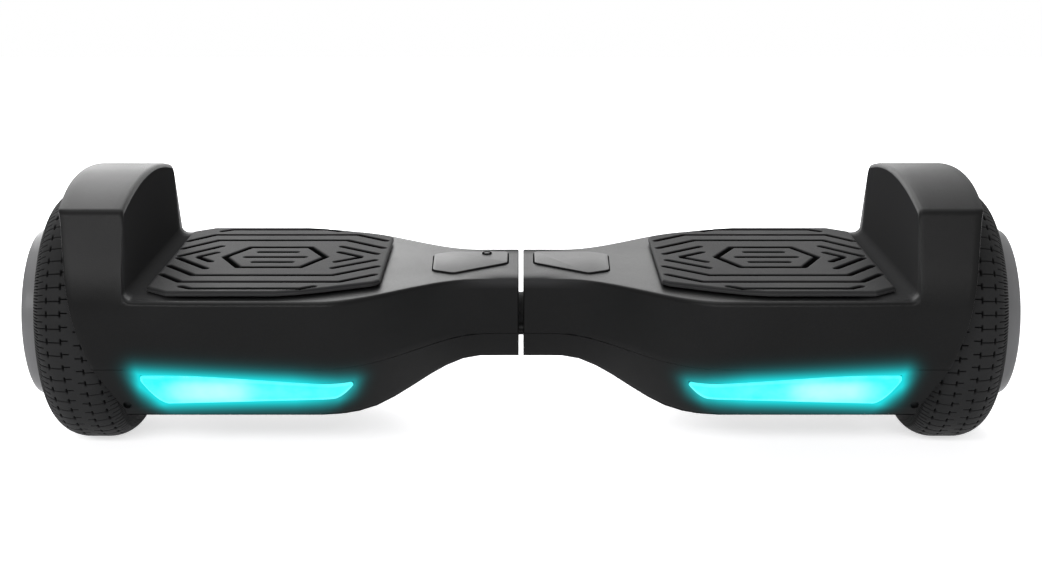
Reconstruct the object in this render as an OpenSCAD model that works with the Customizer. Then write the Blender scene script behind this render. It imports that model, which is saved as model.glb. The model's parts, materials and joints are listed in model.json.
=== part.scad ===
// Self-balancing hoverboard: two halves that twist about a middle shaft, each with a hub-motor wheel.
// Millimetres, +Z up. The origin is on the floor under the middle, and the headlights face -Y.

/* [Wheels] */
// Tyre diameter
wheel_d = 165; // [155:1:175]
// Tyre width over its side walls
tyre_w = 54; // [48:1:60]
// Half width of the level band in the middle of the tread
tread_land = 8; // [6:0.5:12]
// Share of the tyre's height over its rim that the rounded shoulders take
shoulder_share = 0.6; // [0.5:0.02:0.66]
// Radius of the rim that the tyre sits on
rim_r = 52; // [50:0.5:54]
// Wall of the rotor can under the tyre
can_wall = 4; // [3.5:0.5:5]
// Depth that the tyre's side walls stand out beside the rim
bead_step = 7; // [5:0.5:8]
// Thickness of the magnets
magnet_t = 3; // [2:0.5:4]
// Air gap between magnets and stator
air_gap = 0.8; // [0.5:0.1:1.2]
// Teeth of the stator
stator_teeth = 12; // [9:3:15]
// Radius of the axle
axle_r = 8; // [7:0.5:9]
// Outer radius of a hub bearing
bearing_r = 16; // [14:0.5:18]
// Width of a hub bearing
bearing_w = 9; // [7:0.5:10]
// How far the hub cover stands out past the rim
cover_depth = 20.5; // [18:0.5:24]
// Radius of the hub cover at its outer edge
cover_r = 54; // [53:0.5:56]
// Screws that hold a hub cover
cover_screws = 5; // [4:1:6]

/* [Body] */
// Half of the gap between the two halves
half_gap = 1.5; // [1:0.25:2.5]
// Distance from the middle to the inner wall of a fender
fender_x = 241; // [236:1:248]
// Height of the deck above the axle
deck_rise = 32.5; // [30:0.5:36]
// Depth of the belly below the axle under the deck
belly_drop = 46.5; // [43:0.5:48]
// Depth of the belly below the axle at the waist
waist_belly_drop = 22.5; // [19:0.5:24]
// Room between the tyre and the front edge of the deck
skirt_gap = 12.5; // [11:0.5:16]
// Half depth of the waist at the deck edge
waist_half = 40; // [37:0.5:46]
// Distance from the middle where the waist starts to widen
waist_from = 28; // [24:1:32]
// Distance from the middle where the body has its full depth
waist_to = 124; // [118:1:130]
// Wall of the plastic shells
shell_t = 3; // [2.5:0.25:3.5]
// Rounding of the deck edge under the mats
edge_r = 3.5; // [3:0.5:7]
// Rounding of the deck edge at the waist
waist_edge_r = 2; // [1.5:0.5:9]
// Fillet between deck and fender
fender_fillet = 5.5; // [4:0.5:7]
// Depth of the parting line below the axle under the deck
seam_drop = 11.5; // [10:0.5:13]
// Depth of the parting line below the axle at the waist
waist_seam_drop = 4.5; // [4:0.5:6]
// How far the front face leans in from the deck edge to the parting line
seam_inset = 3; // [2:0.25:4]
// How far the lower shell tucks in below the parting line
belly_tuck = 12; // [10:0.5:14]

/* [Fender] */
// Room between tyre and inner wall of the fender
tyre_gap = 6; // [5:0.5:8]
// Height of the crown above the tyre
crown_gap = 12.5; // [11:0.5:18]
// Height of the fender's crease above the axle
crease_rise = 84.5; // [82:0.5:89]
// Half depth of the fender at its crease
crease_half = 75; // [73:0.5:80]
// Height above the axle where the fender leans in fully
shoulder_rise = 41.5; // [39:0.5:46]
// How far the fender's face has come in at that height
shoulder_in = 3.3; // [2:0.1:5]
// Width of the fender at its crown
crown_w = 45; // [40:0.5:48]
// Width of the fender at its crease
crease_w = 39; // [34:0.5:40]
// Width of the skirt at its foot
skirt_w = 5; // [4.5:0.25:6]
// Depth of the skirt's foot below the axle
skirt_drop = 40.5; // [38:0.5:42]

/* [Pivot and frame] */
// Radius of the pivot tube
pivot_r = 11; // [10:0.25:11.5]
// Wall of the pivot tube
pivot_wall = 3.5; // [3:0.25:4]
// Wall of a pivot bush
bush_wall = 2; // [1.5:0.25:2.25]
// Outer radius of the frame's pivot boss
boss_r = 16; // [15.75:0.25:16.25]
// Length of the pivot boss
boss_len = 52; // [44:1:56]
// Radius of the flange at the inner end of a frame
flange_r = 22; // [21.5:0.25:24]
// Thickness of that flange
flange_t = 6; // [5:0.5:8]
// Radius of the twist limit pin
pin_r = 2; // [1.5:0.1:2.1]
// Distance of the limit pin in front of the shaft
pin_y = 14; // [13.5:0.25:14.5]
// Distance of the limit pin below the shaft
pin_drop = 10; // [9.75:0.25:10.25]
// Largest twist of the left half either way, degrees
twist_limit = 10; // [8:0.5:10.5]
// Thickness of the frame's plate
plate_t = 5; // [4:0.5:6]
// Depth of the plate's top below the axle
plate_drop = 10.5; // [9.5:0.25:11]
// Half width of the plate under the deck
plate_half = 62; // [59:0.5:62.5]
// Half width of the plate at the waist
plate_waist_half = 24; // [20:0.5:25]
// Thickness of the frame's side ribs
rib_t = 7; // [5:0.5:8]
// Height of the side ribs below the plate
rib_h = 18; // [15:0.5:19]
// Length of the axle clamp
clamp_len = 36; // [32:1:40]
// Half width of the axle clamp
clamp_half = 22; // [21:0.5:25]
// Height of the upper clamp half above the axle
clamp_h = 14; // [12:0.5:15]
// Radius of the clamp bolts
bolt_r = 2.5; // [2:0.25:3]

/* [Mats and panels] */
// Height of a mat's top above the deck
mat_rise = 4.5; // [4:0.25:6]
// Travel of a mat when it is stepped on
mat_travel = 1; // [0.6:0.1:1.2]
// Inner end of the mats
mat_x0 = 88; // [84:1:92]
// Room between mat and fender
mat_end_gap = 11; // [9:0.5:14]
// Half depth of the mats
mat_half = 86.5; // [82:0.5:87]
// Half depth of the mats at their inner end
mat_inner_half = 63; // [58:0.5:64]
// Radius of the plungers under a mat
plunger_r = 5; // [4:0.5:6]
// Thickness of the top panels
panel_t = 1.2; // [1:0.1:1.6]
// Radius of the indicator lens
indicator_r = 2.5; // [2:0.25:3]

/* [Lights and electronics] */
// Inner end of the headlight lens
lens_x0 = 104; // [100:1:110]
// Room between the outer end of the lens and the fender's wall
lens_end_gap = 7; // [6:0.5:12]
// Height of the lens at its outer end
lens_h = 21; // [18:0.5:22]
// Height of the lens at its inner end
lens_inner_h = 10.5; // [9:0.5:12]
// Room between the top of the lens and the parting line
lens_top_gap = 4; // [3:0.25:5]
// How far the lens stands out of the shell
lens_proud = 0.4; // [0.2:0.1:0.8]
// Battery length
battery_l = 126; // [110:1:128]
// Battery width
battery_w = 106; // [96:1:107]
// Battery height
battery_h = 22; // [18:0.5:22.5]
// Length of the main board
main_board_l = 92; // [80:1:100]
// Width of the main board
main_board_w = 90; // [80:1:100]
// Thickness of the circuit boards
board_t = 1.6; // [1.2:0.1:2]
// Length of a sensor board
sensor_l = 92; // [80:1:94]
// Width of a sensor board
sensor_w = 64; // [56:1:70]
// Height of the sensor boards above the axle
sensor_rise = 13.5; // [12:0.5:16]
// Radius of the power button
button_r = 7; // [6:0.25:8]
// Travel of the power button
button_travel = 1; // [0.6:0.1:1.2]
// Radius of the charge socket's bore
socket_r = 6.5; // [6:0.25:7]
// Depth of the charge socket's bore
socket_depth = 14; // [13:0.5:16]

/* [Fasteners and clearances] */
// Radius of the shell screws
screw_r = 1.75; // [1.5:0.05:2]
// Radius of the shell screws' heads
screw_head_r = 4; // [3.5:0.1:4.5]
// Radius of the hub cover screws
cover_screw_r = 1.5; // [1.2:0.05:1.6]
// Clearance of a running fit, on the radius
run_clear = 0.05; // [0.03:0.01:0.08]
// Clearance of a fixed fit, on the radius
fit_clear = 0.03; // [0.02:0.01:0.06]
// Clearance around pieces that move or drop in
free_clear = 0.4; // [0.3:0.05:0.5]

/* [Hidden] */
$fn = 64;

// Heights
axle_z = wheel_d / 2;
deck_z = axle_z + deck_rise;
crown_z = wheel_d + crown_gap;
crease_z = axle_z + crease_rise;
plate_z = axle_z - plate_drop;
sensor_z = axle_z + sensor_rise;

// Plan
body_half = axle_z + skirt_gap;
side_bulge = 1;
wheel_x = fender_x + shell_t + tyre_gap + tyre_w / 2;
end_wall_x = half_gap + shell_t;
draft = 0.6;
over = 1;

// Ends of the stretches over which the belly and the parting line change height
belly_from = 25;
belly_to = 102;
seam_from = 15;
seam_to = 95;

function clamp01(t) = max(0, min(1, t));
function smooth(t) = let (c = clamp01(t)) c * c * (3 - 2 * c);
function mix(a, b, t) = a + (b - a) * t;
function waist_at(x) = smooth((x - waist_from) / (waist_to - waist_from));
function plan_half(x) = mix(waist_half, body_half, waist_at(x));
function belly_z(x) =
    axle_z - mix(waist_belly_drop, belly_drop, smooth((x - belly_from) / (belly_to - belly_from)));
function seam_z(x) =
    axle_z - mix(waist_seam_drop, seam_drop, smooth((x - seam_from) / (seam_to - seam_from)));
function edge_at(x) = mix(waist_edge_r, edge_r, waist_at(x));

// Half outlines across the board, as [y, z] points from the parting line to the middle plane.
// Each has the same number of points, so that neighbours can be joined into a skin.
function deck_outline(x, t) = let (
    h = plan_half(x) - t,
    top = deck_z - t,
    r = max(edge_at(x) - t, over),
    foot = seam_z(x),
    flat = h + side_bulge - r
) concat(
    [[h - seam_inset, foot], [h - seam_inset / 4, (foot + top - r) / 2]],
    [for (a = [0:30:90]) [flat + r * cos(a), top - r + r * sin(a)]],
    [for (k = [2:-1:0]) [flat * k / 3, top]]
);
function crown_at(y) = mix(crown_z, crease_z, pow(y / crease_half, 2));
function fender_outline(x, t) = let (
    h = body_half - t,
    foot = seam_z(x),
    wall_top = deck_z - edge_r,
    inner_half = crease_half - t
) concat(
    [[h - seam_inset, foot], [h - seam_inset / 4, (foot + wall_top) / 2], [h + side_bulge, wall_top]],
    [[h + side_bulge - shoulder_in, axle_z + shoulder_rise], [inner_half + 1, crease_z - 2.5 - t / 2]],
    [for (f = [0.97, 2 / 3, 1 / 3, 0]) [inner_half * f, crown_at(crease_half * f) - t]]
);
function hole_outline(r, foot, top_sign) = let (
    start = asin(max(-1, min(1, (foot - axle_z) / r)))
) [for (k = [0:8]) let (a = mix(start, top_sign * 90, k / 8)) [r * cos(a), axle_z + r * sin(a)]];
function fillet_outline(x, rise) = let (
    low = deck_outline(x, 0),
    high = fender_outline(x, 0),
    w = rise / (crown_z - deck_z)
) [for (i = [0:8]) mix(low[i], high[i], w)];

// The lower shell's face runs straight from the parting line, share 0, to the belly, share 1.
function tuck_at(x) = belly_tuck * (seam_z(x) - belly_z(x)) / (belly_drop - seam_drop);
function face_y(x, share) = plan_half(x) - seam_inset - tuck_at(x) * share;
function face_z(x, share) = mix(seam_z(x), belly_z(x), share);
function face_y_at(x, z) = face_y(x, (seam_z(x) - z) / (seam_z(x) - belly_z(x)));
function belly_outline(x, t) = let (
    b = belly_z(x) + t,
    s = seam_z(x),
    flat = face_y(x, 1) - t - 9
) concat(
    [for (k = [0, 0.4, 0.8]) [face_y(x, k) - t, mix(s, b, k)]],
    [[face_y(x, 0.93) - t - 1, mix(s, b, 0.93)], [face_y(x, 1) - t - 4.5, b + 0.4]],
    [for (k = [3:-1:0]) [flat * k / 3, b]]
);

// Whole outline across the board from its half, front edge first
function both_sides(half) = let (n = len(half)) concat(
    [for (p = half) [-p[0], p[1]]],
    [for (i = [n - 2:-1:0]) half[i]]
);
function at_x(x, outline) = [for (p = outline) [x, p[0], p[1]]];

// Skin with an outer and an inner side along stations of [x, outer half outline, inner half outline]
module skin(stations, facing_up) {
    rings = [for (s = stations) concat(at_x(s[0], both_sides(s[1])), at_x(s[0], both_sides(s[2])))];
    n = len(rings[0]) / 2;
    size = 2 * n;
    last = len(rings) - 1;
    walls = [for (s = [0:last - 1], i = [0:n - 2]) let (a = s * size + i, b = a + size) each [
        [a, a + 1, b + 1, b], [a + n, b + n, b + n + 1, a + n + 1]
    ]];
    feet = [for (s = [0:last - 1]) let (a = s * size, b = a + size) each [
        [a, b, b + n, a + n], [a + n - 1, a + size - 1, b + size - 1, b + n - 1]
    ]];
    caps = [for (i = [0:n - 2]) let (e = last * size + i) each [
        [i, i + n, i + n + 1, i + 1], [e, e + 1, e + n + 1, e + n]
    ]];
    faces = concat(walls, feet, caps);
    polyhedron(
        points = [for (r = rings) each r],
        faces = facing_up ? faces : [for (f = faces) [f[3], f[2], f[1], f[0]]],
        convexity = 8
    );
}

// Solid through closed four-point rings
module bar(rings) {
    last = len(rings) - 1;
    sides = [for (s = [0:last - 1], i = [0:3]) let (j = (i + 1) % 4)
        [s * 4 + i, s * 4 + 4 + i, s * 4 + 4 + j, s * 4 + j]];
    polyhedron(
        points = [for (r = rings) each r],
        faces = concat([[0, 1, 2, 3]], sides, [[for (i = [3:-1:0]) last * 4 + i]])
    );
}

module left() mirror([1, 0, 0]) children();
module along_x(x) translate([x, 0, axle_z]) rotate([0, 90, 0]) children();
module turned(points) rotate_extrude($fn = 96) polygon(points);
module ring(r_out, r_in, length) difference() {
    cylinder(r = r_out, h = length);
    translate([0, 0, -over]) cylinder(r = r_in, h = length + 2 * over);
}
module block(low, high) translate(low) cube(high - low);

// Stations of the shells along the board
belly_steps = 9;
waist_stations = concat(
    [for (k = [0:belly_steps]) mix(end_wall_x + draft, belly_to, k / belly_steps)],
    [mix(belly_to, waist_to, 0.5), waist_to]
);
fillet_angles = [0:30:90];
fender_end = fender_x + crown_w + over;
pivot_hole_r = pivot_r + bush_wall + 1;
axle_hole_r = axle_r + 5;
well_x = fender_x + shell_t;

// What lies outside the slanted outer edge of fender and skirt, as shares of its height and width
edge_shares = [[0, 0], [0.14, 0.29], [0.27, 0.55], [0.46, 0.75], [0.66, 0.87], [1, 1]];
module outer_edge_cut() {
    foot_z = axle_z - skirt_drop;
    low_z = axle_z - belly_drop - 10;
    far_x = fender_end + 20;
    edge = [for (p = edge_shares) [fender_x + mix(skirt_w, crease_w, p[1]), mix(foot_z, crease_z, p[0])]];
    translate([0, body_half + 20, 0]) rotate([90, 0, 0]) linear_extrude(height = 2 * (body_half + 20))
        polygon(concat(
            [[fender_x + skirt_w, low_z]],
            edge,
            [[fender_x + crown_w, crown_z], [fender_x + crown_w, crown_z + 10]],
            [[far_x, crown_z + 10], [far_x, low_z]]
        ));
}

// Shell screws and the posts that they hold
screw_spots = [[66, 30], [112, 69], [fender_x - 15, 69]];
screw_boss_r = screw_head_r + 3;
screw_boss_h = 9;
screw_sink = 4;
screw_head_h = 2.6;
screw_len = 20;
post_r = screw_r + 3;
module at_screws() for (p = screw_spots, s = [-1, 1]) translate([p[0], s * p[1], belly_z(p[0])]) children();
// Boss on the inside of the belly, with its foot cut along the belly's slope
module screw_bosses() for (p = screw_spots, s = [-1, 1]) translate([p[0], s * p[1], belly_z(p[0])]) difference() {
    size = 4 * screw_boss_r;
    cylinder(r = screw_boss_r, h = screw_boss_h);
    rotate([0, -atan((belly_z(p[0] + 1) - belly_z(p[0] - 1)) / 2), 0])
        translate([-size / 2, -size / 2, shell_t / 2 - size]) cube(size);
}
plunger_spots = [130, 172];
module at_plungers() for (x = plunger_spots) translate([x, 0, 0]) children();

module upper_shell() {
    difference() {
        union() {
            skin(concat(
                [for (x = [half_gap, end_wall_x])
                    [x, deck_outline(x, 0), hole_outline(pivot_hole_r, seam_z(x), 1)]],
                [for (x = waist_stations) [x, deck_outline(x, 0), deck_outline(x, shell_t)]],
                [for (a = fillet_angles) let (x = fender_x - fender_fillet * (1 - sin(a)))
                    [x, fillet_outline(x, fender_fillet * (1 - cos(a))), deck_outline(x, shell_t)]],
                [for (x = [fender_x + draft, well_x])
                    [x, fender_outline(x, 0), hole_outline(axle_hole_r, seam_z(x), 1)]],
                [for (x = [well_x + draft, fender_end])
                    [x, fender_outline(x, 0), fender_outline(x, shell_t)]]
            ), true);
            for (p = screw_spots, s = [-1, 1]) let (z = belly_z(p[0]) + screw_boss_h + fit_clear)
                translate([p[0], s * p[1], z]) cylinder(r = post_r, h = deck_z - shell_t / 2 - z);
        }
        outer_edge_cut();
        at_plungers() translate([0, 0, deck_z - shell_t - over])
            cylinder(r = plunger_r + free_clear, h = shell_t + 2 * over);
        at_screws() cylinder(r = screw_r + fit_clear, h = screw_sink + screw_len + over);
    }
}
module left_upper_shell() color("#262626") left() upper_shell();
module right_upper_shell() color("#262626") upper_shell();

// Headlight window: its top swings up towards the wheel, and both ends are rounded from below
lens_x1 = fender_x - lens_end_gap;
lens_tip = 12;
lens_heel = 16;
lens_tip_h = 2.5;
lens_heel_h = 3.5;
lens_dip = 6.6;
lens_swing = 0.89;
function lens_share(x) = (x - lens_x0) / (lens_x1 - lens_x0);
function lens_top(x) =
    axle_z - seam_drop - lens_top_gap - lens_dip * (1 - smooth(lens_share(x) / lens_swing));
function lens_foot(x) =
    axle_z - seam_drop - lens_top_gap - mix(lens_dip + lens_inner_h, lens_h, lens_share(x));
function lens_height(x) = let (
    full = lens_top(x) - lens_foot(x),
    tip = pow(clamp01((lens_x0 + lens_tip - x) / lens_tip), 1.8),
    heel = pow(clamp01((x - lens_x1 + lens_heel) / lens_heel), 1.7)
) mix(mix(full, lens_tip_h, tip), lens_heel_h, heel);
function lens_ring(x, grow, out, deep, stretch) = let (
    at = mix(mix(lens_x0, lens_x1, 0.5), x, stretch),
    top = lens_top(x) + grow,
    foot = lens_top(x) - lens_height(x) - grow
) [
    [at, -face_y_at(x, top) - out, top], [at, -face_y_at(x, foot) - out, foot],
    [at, -face_y_at(x, foot) + deep, foot], [at, -face_y_at(x, top) + deep, top]
];
lens_stations = concat(
    [for (k = [0:3]) lens_x0 + lens_tip * k / 4],
    [for (k = [0:7]) mix(lens_x0 + lens_tip, lens_x1 - lens_heel, k / 7)],
    [for (k = [1:4]) lens_x1 - lens_heel * (1 - k / 4)]
);
module lens_body(grow, out, deep) {
    stretch = 1 + 2 * grow / (lens_x1 - lens_x0);
    bar([for (x = lens_stations) lens_ring(x, grow, out, deep, stretch)]);
}
module headlight_lens() lens_body(0, lens_proud, shell_t);
module left_headlight_lens() color("#40fffa") left() headlight_lens();
module right_headlight_lens() color("#40fffa") headlight_lens();

led_margin = 8;
led_t = 2;
led_h = 7;
led_gap = 0.6;
module led_strip() {
    x0 = waist_to + led_margin;
    x1 = lens_x1 - lens_heel - led_margin;
    near = shell_t + led_gap;
    bar([for (k = [0:4]) let (
        x = mix(x0, x1, k / 4),
        top = lens_top(x) - (lens_height(x) - led_h) / 2,
        foot = top - led_h
    ) [
        [x, -face_y_at(x, top) + near, top], [x, -face_y_at(x, foot) + near, foot],
        [x, -face_y_at(x, foot) + near + led_t, foot], [x, -face_y_at(x, top) + near + led_t, top]
    ]]);
}
module left_led_strip() color("#e8f6f4") left() led_strip();
module right_led_strip() color("#e8f6f4") led_strip();

// Rear face of the lower shell, where button and socket sit square to the wall
rear_share = 0.5;
rear_lean = atan(belly_tuck / (belly_drop - seam_drop));
button_x = 150;
socket_x = 188;
module on_face(x, share) translate([x, face_y(x, share), face_z(x, share)])
    rotate([-90 - rear_lean, 0, 0]) children();
module on_rear(x) on_face(x, rear_share) children();
socket_body_r = socket_r + 2.5;

// Blind holes at the outer lower corners of the lower shell
corner_out = 3.3;
corner_share = 0.73;
corner_r = 2.6;
corner_depth = 2;
module corner_holes() for (s = [0, 1]) mirror([0, s, 0]) on_face(fender_x + corner_out, corner_share)
    translate([0, 0, -corner_depth]) cylinder(r = corner_r, h = corner_depth + over);

// Slot that the limit pin swings in, through the pieces between x0 and x1
pin_arm = norm([pin_y, pin_drop]);
slot_half_w = pin_r + free_clear;
slot_reach = twist_limit + asin(slot_half_w / pin_arm);
module limit_slot(x0, x1) along_x(x0) rotate([0, 0, atan2(-pin_y, pin_drop) - slot_reach])
    rotate_extrude(angle = 2 * slot_reach, $fn = 96)
        translate([pin_arm - slot_half_w, 0]) square([2 * slot_half_w, x1 - x0]);
module limit_pin(x0, x1, r) translate([0, -pin_y, -pin_drop]) along_x(x0) cylinder(r = r, h = x1 - x0);

module lower_shell() {
    difference() {
        union() {
            skin(concat(
                [for (x = [half_gap, end_wall_x])
                    [x, belly_outline(x, 0), hole_outline(pivot_hole_r, seam_z(x), -1)]],
                [for (x = waist_stations) [x, belly_outline(x, 0), belly_outline(x, shell_t)]],
                [for (x = [fender_x]) [x, belly_outline(x, 0), belly_outline(x, shell_t)]],
                [for (x = [fender_x + draft, well_x])
                    [x, belly_outline(x, 0), hole_outline(axle_hole_r, seam_z(x), -1)]],
                [for (x = [well_x + draft, fender_end])
                    [x, belly_outline(x, 0), belly_outline(x, shell_t)]]
            ), false);
            screw_bosses();
        }
        outer_edge_cut();
        corner_holes();
        lens_body(free_clear / 2, 5, shell_t + 3);
        at_screws() {
            translate([0, 0, -screw_sink]) cylinder(r = screw_head_r + free_clear, h = 2 * screw_sink);
            cylinder(r = screw_r + free_clear, h = screw_boss_h + over);
        }
    }
}
module left_lower_shell() color("#202020") difference() {
    left() lower_shell();
    limit_slot(-end_wall_x - over, -half_gap + over);
}
module right_lower_shell() color("#202020") difference() {
    lower_shell();
    limit_pin(half_gap - over, end_wall_x + over, pin_r + free_clear);
    on_rear(button_x) translate([0, 0, -8]) cylinder(r = button_r + free_clear, h = 12);
    on_rear(socket_x) translate([0, 0, -8]) cylinder(r = socket_body_r + fit_clear, h = 12);
}

module shell_screws() at_screws() translate([0, 0, screw_sink]) {
    translate([0, 0, -screw_head_h]) cylinder(r = screw_head_r, h = screw_head_h);
    cylinder(r = screw_r, h = screw_len);
}
module left_shell_screws() color("#3a3a3c") left() shell_screws();
module right_shell_screws() color("#3a3a3c") shell_screws();

// Foot mats and their plungers
mat_x1 = fender_x - mat_end_gap;
mat_lift = mat_travel + 0.3;
switch_h = 4;
mat_corner = [14, 11.5];
mat_nose = 62;
mat_outline = [
    [mat_x0, mat_inner_half - 5], [mat_x0 + 4, mat_inner_half], [mat_x0 + mat_nose, mat_half],
    [mat_x1 - mat_corner[0], mat_half], [mat_x1, mat_half - mat_corner[1]]
];
module foot_mat() {
    n = len(mat_outline);
    translate([0, 0, deck_z + mat_lift]) linear_extrude(height = mat_rise - mat_lift) polygon(concat(
        mat_outline,
        [for (i = [n - 1:-1:0]) [mat_outline[i][0], -mat_outline[i][1]]]
    ));
    foot = sensor_z + board_t + switch_h + mat_travel + 0.3;
    at_plungers() translate([0, 0, foot]) cylinder(r = plunger_r, h = deck_z + mat_lift + over - foot);
}
module left_foot_mat() color("#484848") left() foot_mat();
module right_foot_mat() color("#484848") foot_mat();

// Top panels beside the gap
indicator_spot = [22.8, 23];
panel_outline = [[9, -1], [43.5, -27.5], [57, -20], [58, 22], [46, 29], [9, 29]];
module top_panel() translate([0, 0, deck_z]) linear_extrude(height = panel_t) polygon(panel_outline);
module left_top_panel() color("#3c3c3c") difference() {
    left() top_panel();
    translate([-indicator_spot[0], indicator_spot[1], deck_z - over])
        cylinder(r = indicator_r + fit_clear, h = panel_t + 2 * over);
}
module right_top_panel() color("#3c3c3c") top_panel();
module indicator_lens() color("#101418")
    translate([-indicator_spot[0], indicator_spot[1], deck_z]) cylinder(r = indicator_r, h = panel_t + 0.2);

// Frames
flange_x = end_wall_x + 1.5;
boss_x1 = flange_x + boss_len;
clamp_x1 = fender_x - 7;
clamp_x0 = clamp_x1 - clamp_len;
rib_x0 = 100;
ring_room = 6;
bolt_inset = 7;
bolt_y = clamp_half - bolt_inset;
bolt_depth = plate_drop;
sensor_x0 = 100;
sensor_inset = 8;
sensor_post_r = 3.5;
module at_bolts() for (x = [clamp_x0 + bolt_inset, clamp_x1 - bolt_inset], s = [-1, 1])
    translate([x, s * bolt_y, axle_z]) children();
module at_sensor_posts()
    for (x = [sensor_x0 + sensor_inset, sensor_x0 + sensor_l - sensor_inset], s = [-1, 1])
        translate([x, s * (sensor_w / 2 - sensor_inset), plate_z]) children();

module frame(bore_r) difference() {
    union() {
        along_x(flange_x) cylinder(r = boss_r, h = boss_len);
        intersection() {
            along_x(flange_x) cylinder(r = flange_r, h = flange_t);
            block(
                [0, -flange_r - over, belly_z(0) + shell_t + free_clear],
                [boss_x1, flange_r + over, axle_z + flange_r + over]
            );
        }
        translate([0, 0, plate_z - plate_t]) linear_extrude(height = plate_t) polygon(concat(
            [[flange_x + flange_t, boss_r - 2], [boss_x1 - 25, plate_waist_half], [75, plate_waist_half]],
            [[rib_x0, plate_half], [clamp_x1, plate_half], [clamp_x1, -plate_half], [rib_x0, -plate_half]],
            [[75, -plate_waist_half], [boss_x1 - 25, -plate_waist_half], [flange_x + flange_t, 2 - boss_r]]
        ));
        for (s = [-1, 1]) translate([0, s * (plate_half - rib_t / 2), 0]) block(
            [rib_x0, -rib_t / 2, plate_z - plate_t - rib_h],
            [clamp_x1, rib_t / 2, plate_z]
        );
        block([clamp_x0, -clamp_half, plate_z - over], [clamp_x1, clamp_half, axle_z]);
        at_sensor_posts() translate([0, 0, -over]) cylinder(r = sensor_post_r, h = sensor_z - plate_z + over);
    }
    along_x(flange_x - over) cylinder(r = bore_r, h = boss_len + 2 * over);
    along_x(boss_x1) cylinder(r = boss_r + free_clear, h = ring_room);
    along_x(clamp_x0 - over) cylinder(r = axle_r + fit_clear, h = clamp_len + 2 * over);
    at_bolts() translate([0, 0, -bolt_depth]) cylinder(r = bolt_r + fit_clear, h = bolt_depth + over);
}
module left_frame() color("#b9bcc0") difference() {
    left() frame(pivot_r + bush_wall + fit_clear);
    limit_slot(-flange_x - flange_t - over, -flange_x + over);
}
module right_frame() color("#b9bcc0") difference() {
    frame(pivot_r + fit_clear);
    limit_pin(flange_x - over, flange_x + flange_t + over, pin_r + fit_clear);
}

// Middle shaft
bush_len = 16;
ring_t = 2;
tube_x0 = -(boss_x1 + free_clear + ring_t + 2);
module pivot_tube() color("#8d9196") along_x(tube_x0)
    ring(pivot_r, pivot_r - pivot_wall, boss_x1 - tube_x0);
module pivot_bushes() color("#a8793c") for (x = [-flange_x - bush_len, -boss_x1])
    along_x(x) ring(pivot_r + bush_wall, pivot_r + run_clear, bush_len);
module pivot_spacer() color("#17181a") along_x(free_clear - flange_x)
    ring(pivot_r + bush_wall, pivot_r + fit_clear, 2 * flange_x - free_clear);
module retaining_ring() color("#6d7075") along_x(-boss_x1 - free_clear - ring_t)
    ring(boss_r - 1, pivot_r + fit_clear, ring_t);
module twist_limit_pin() color("#7d8187") limit_pin(-flange_x - flange_t, flange_x + flange_t, pin_r);
cable_over = 18;
plug_size = [16, 12, 10];
module cross_cable() color("#1a1a1a") {
    along_x(tube_x0 - cable_over)
        cylinder(r = pivot_r - pivot_wall - 0.3, h = boss_x1 - tube_x0 + 2 * cable_over);
    for (x = [tube_x0 - cable_over - plug_size[0] + over, boss_x1 + cable_over - over])
        translate([x, -plug_size[1] / 2, axle_z - plug_size[2] / 2]) cube(plug_size);
}

// Axle clamps
module axle_clamp() difference() {
    block([clamp_x0, -clamp_half, axle_z + free_clear], [clamp_x1, clamp_half, axle_z + clamp_h]);
    along_x(clamp_x0 - over) cylinder(r = axle_r + fit_clear, h = clamp_len + 2 * over);
    at_bolts() cylinder(r = bolt_r + fit_clear, h = clamp_h + over);
}
module left_axle_clamp() color("#c4c7ca") left() axle_clamp();
module right_axle_clamp() color("#c4c7ca") axle_clamp();
bolt_head_h = 4;
module clamp_bolts() at_bolts() {
    translate([0, 0, -bolt_depth]) cylinder(r = bolt_r, h = bolt_depth + clamp_h);
    translate([0, 0, clamp_h]) cylinder(r = 1.8 * bolt_r, h = bolt_head_h, $fn = 6);
}
module left_clamp_bolts() color("#55585c") left() clamp_bolts();
module right_clamp_bolts() color("#55585c") clamp_bolts();

// Hub motors, measured along the axle from the middle of the tyre
can_half = tyre_w / 2 - bead_step;
plate_wall = 4;
magnet_r = rim_r - can_wall;
magnet_half = can_half - plate_wall - 2;
stator_r = magnet_r - magnet_t - air_gap;
stator_half = magnet_half - 2;
inner_bearing = -can_half - 4;
outer_bearing = can_half + 2;
cover_web = 6;
axle_end = outer_bearing + bearing_w + 1.5;
module axle() along_x(clamp_x0) cylinder(r = axle_r, h = wheel_x + axle_end - clamp_x0);
module left_axle() color("#9a9da1") left() axle();
module right_axle() color("#9a9da1") axle();

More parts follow.
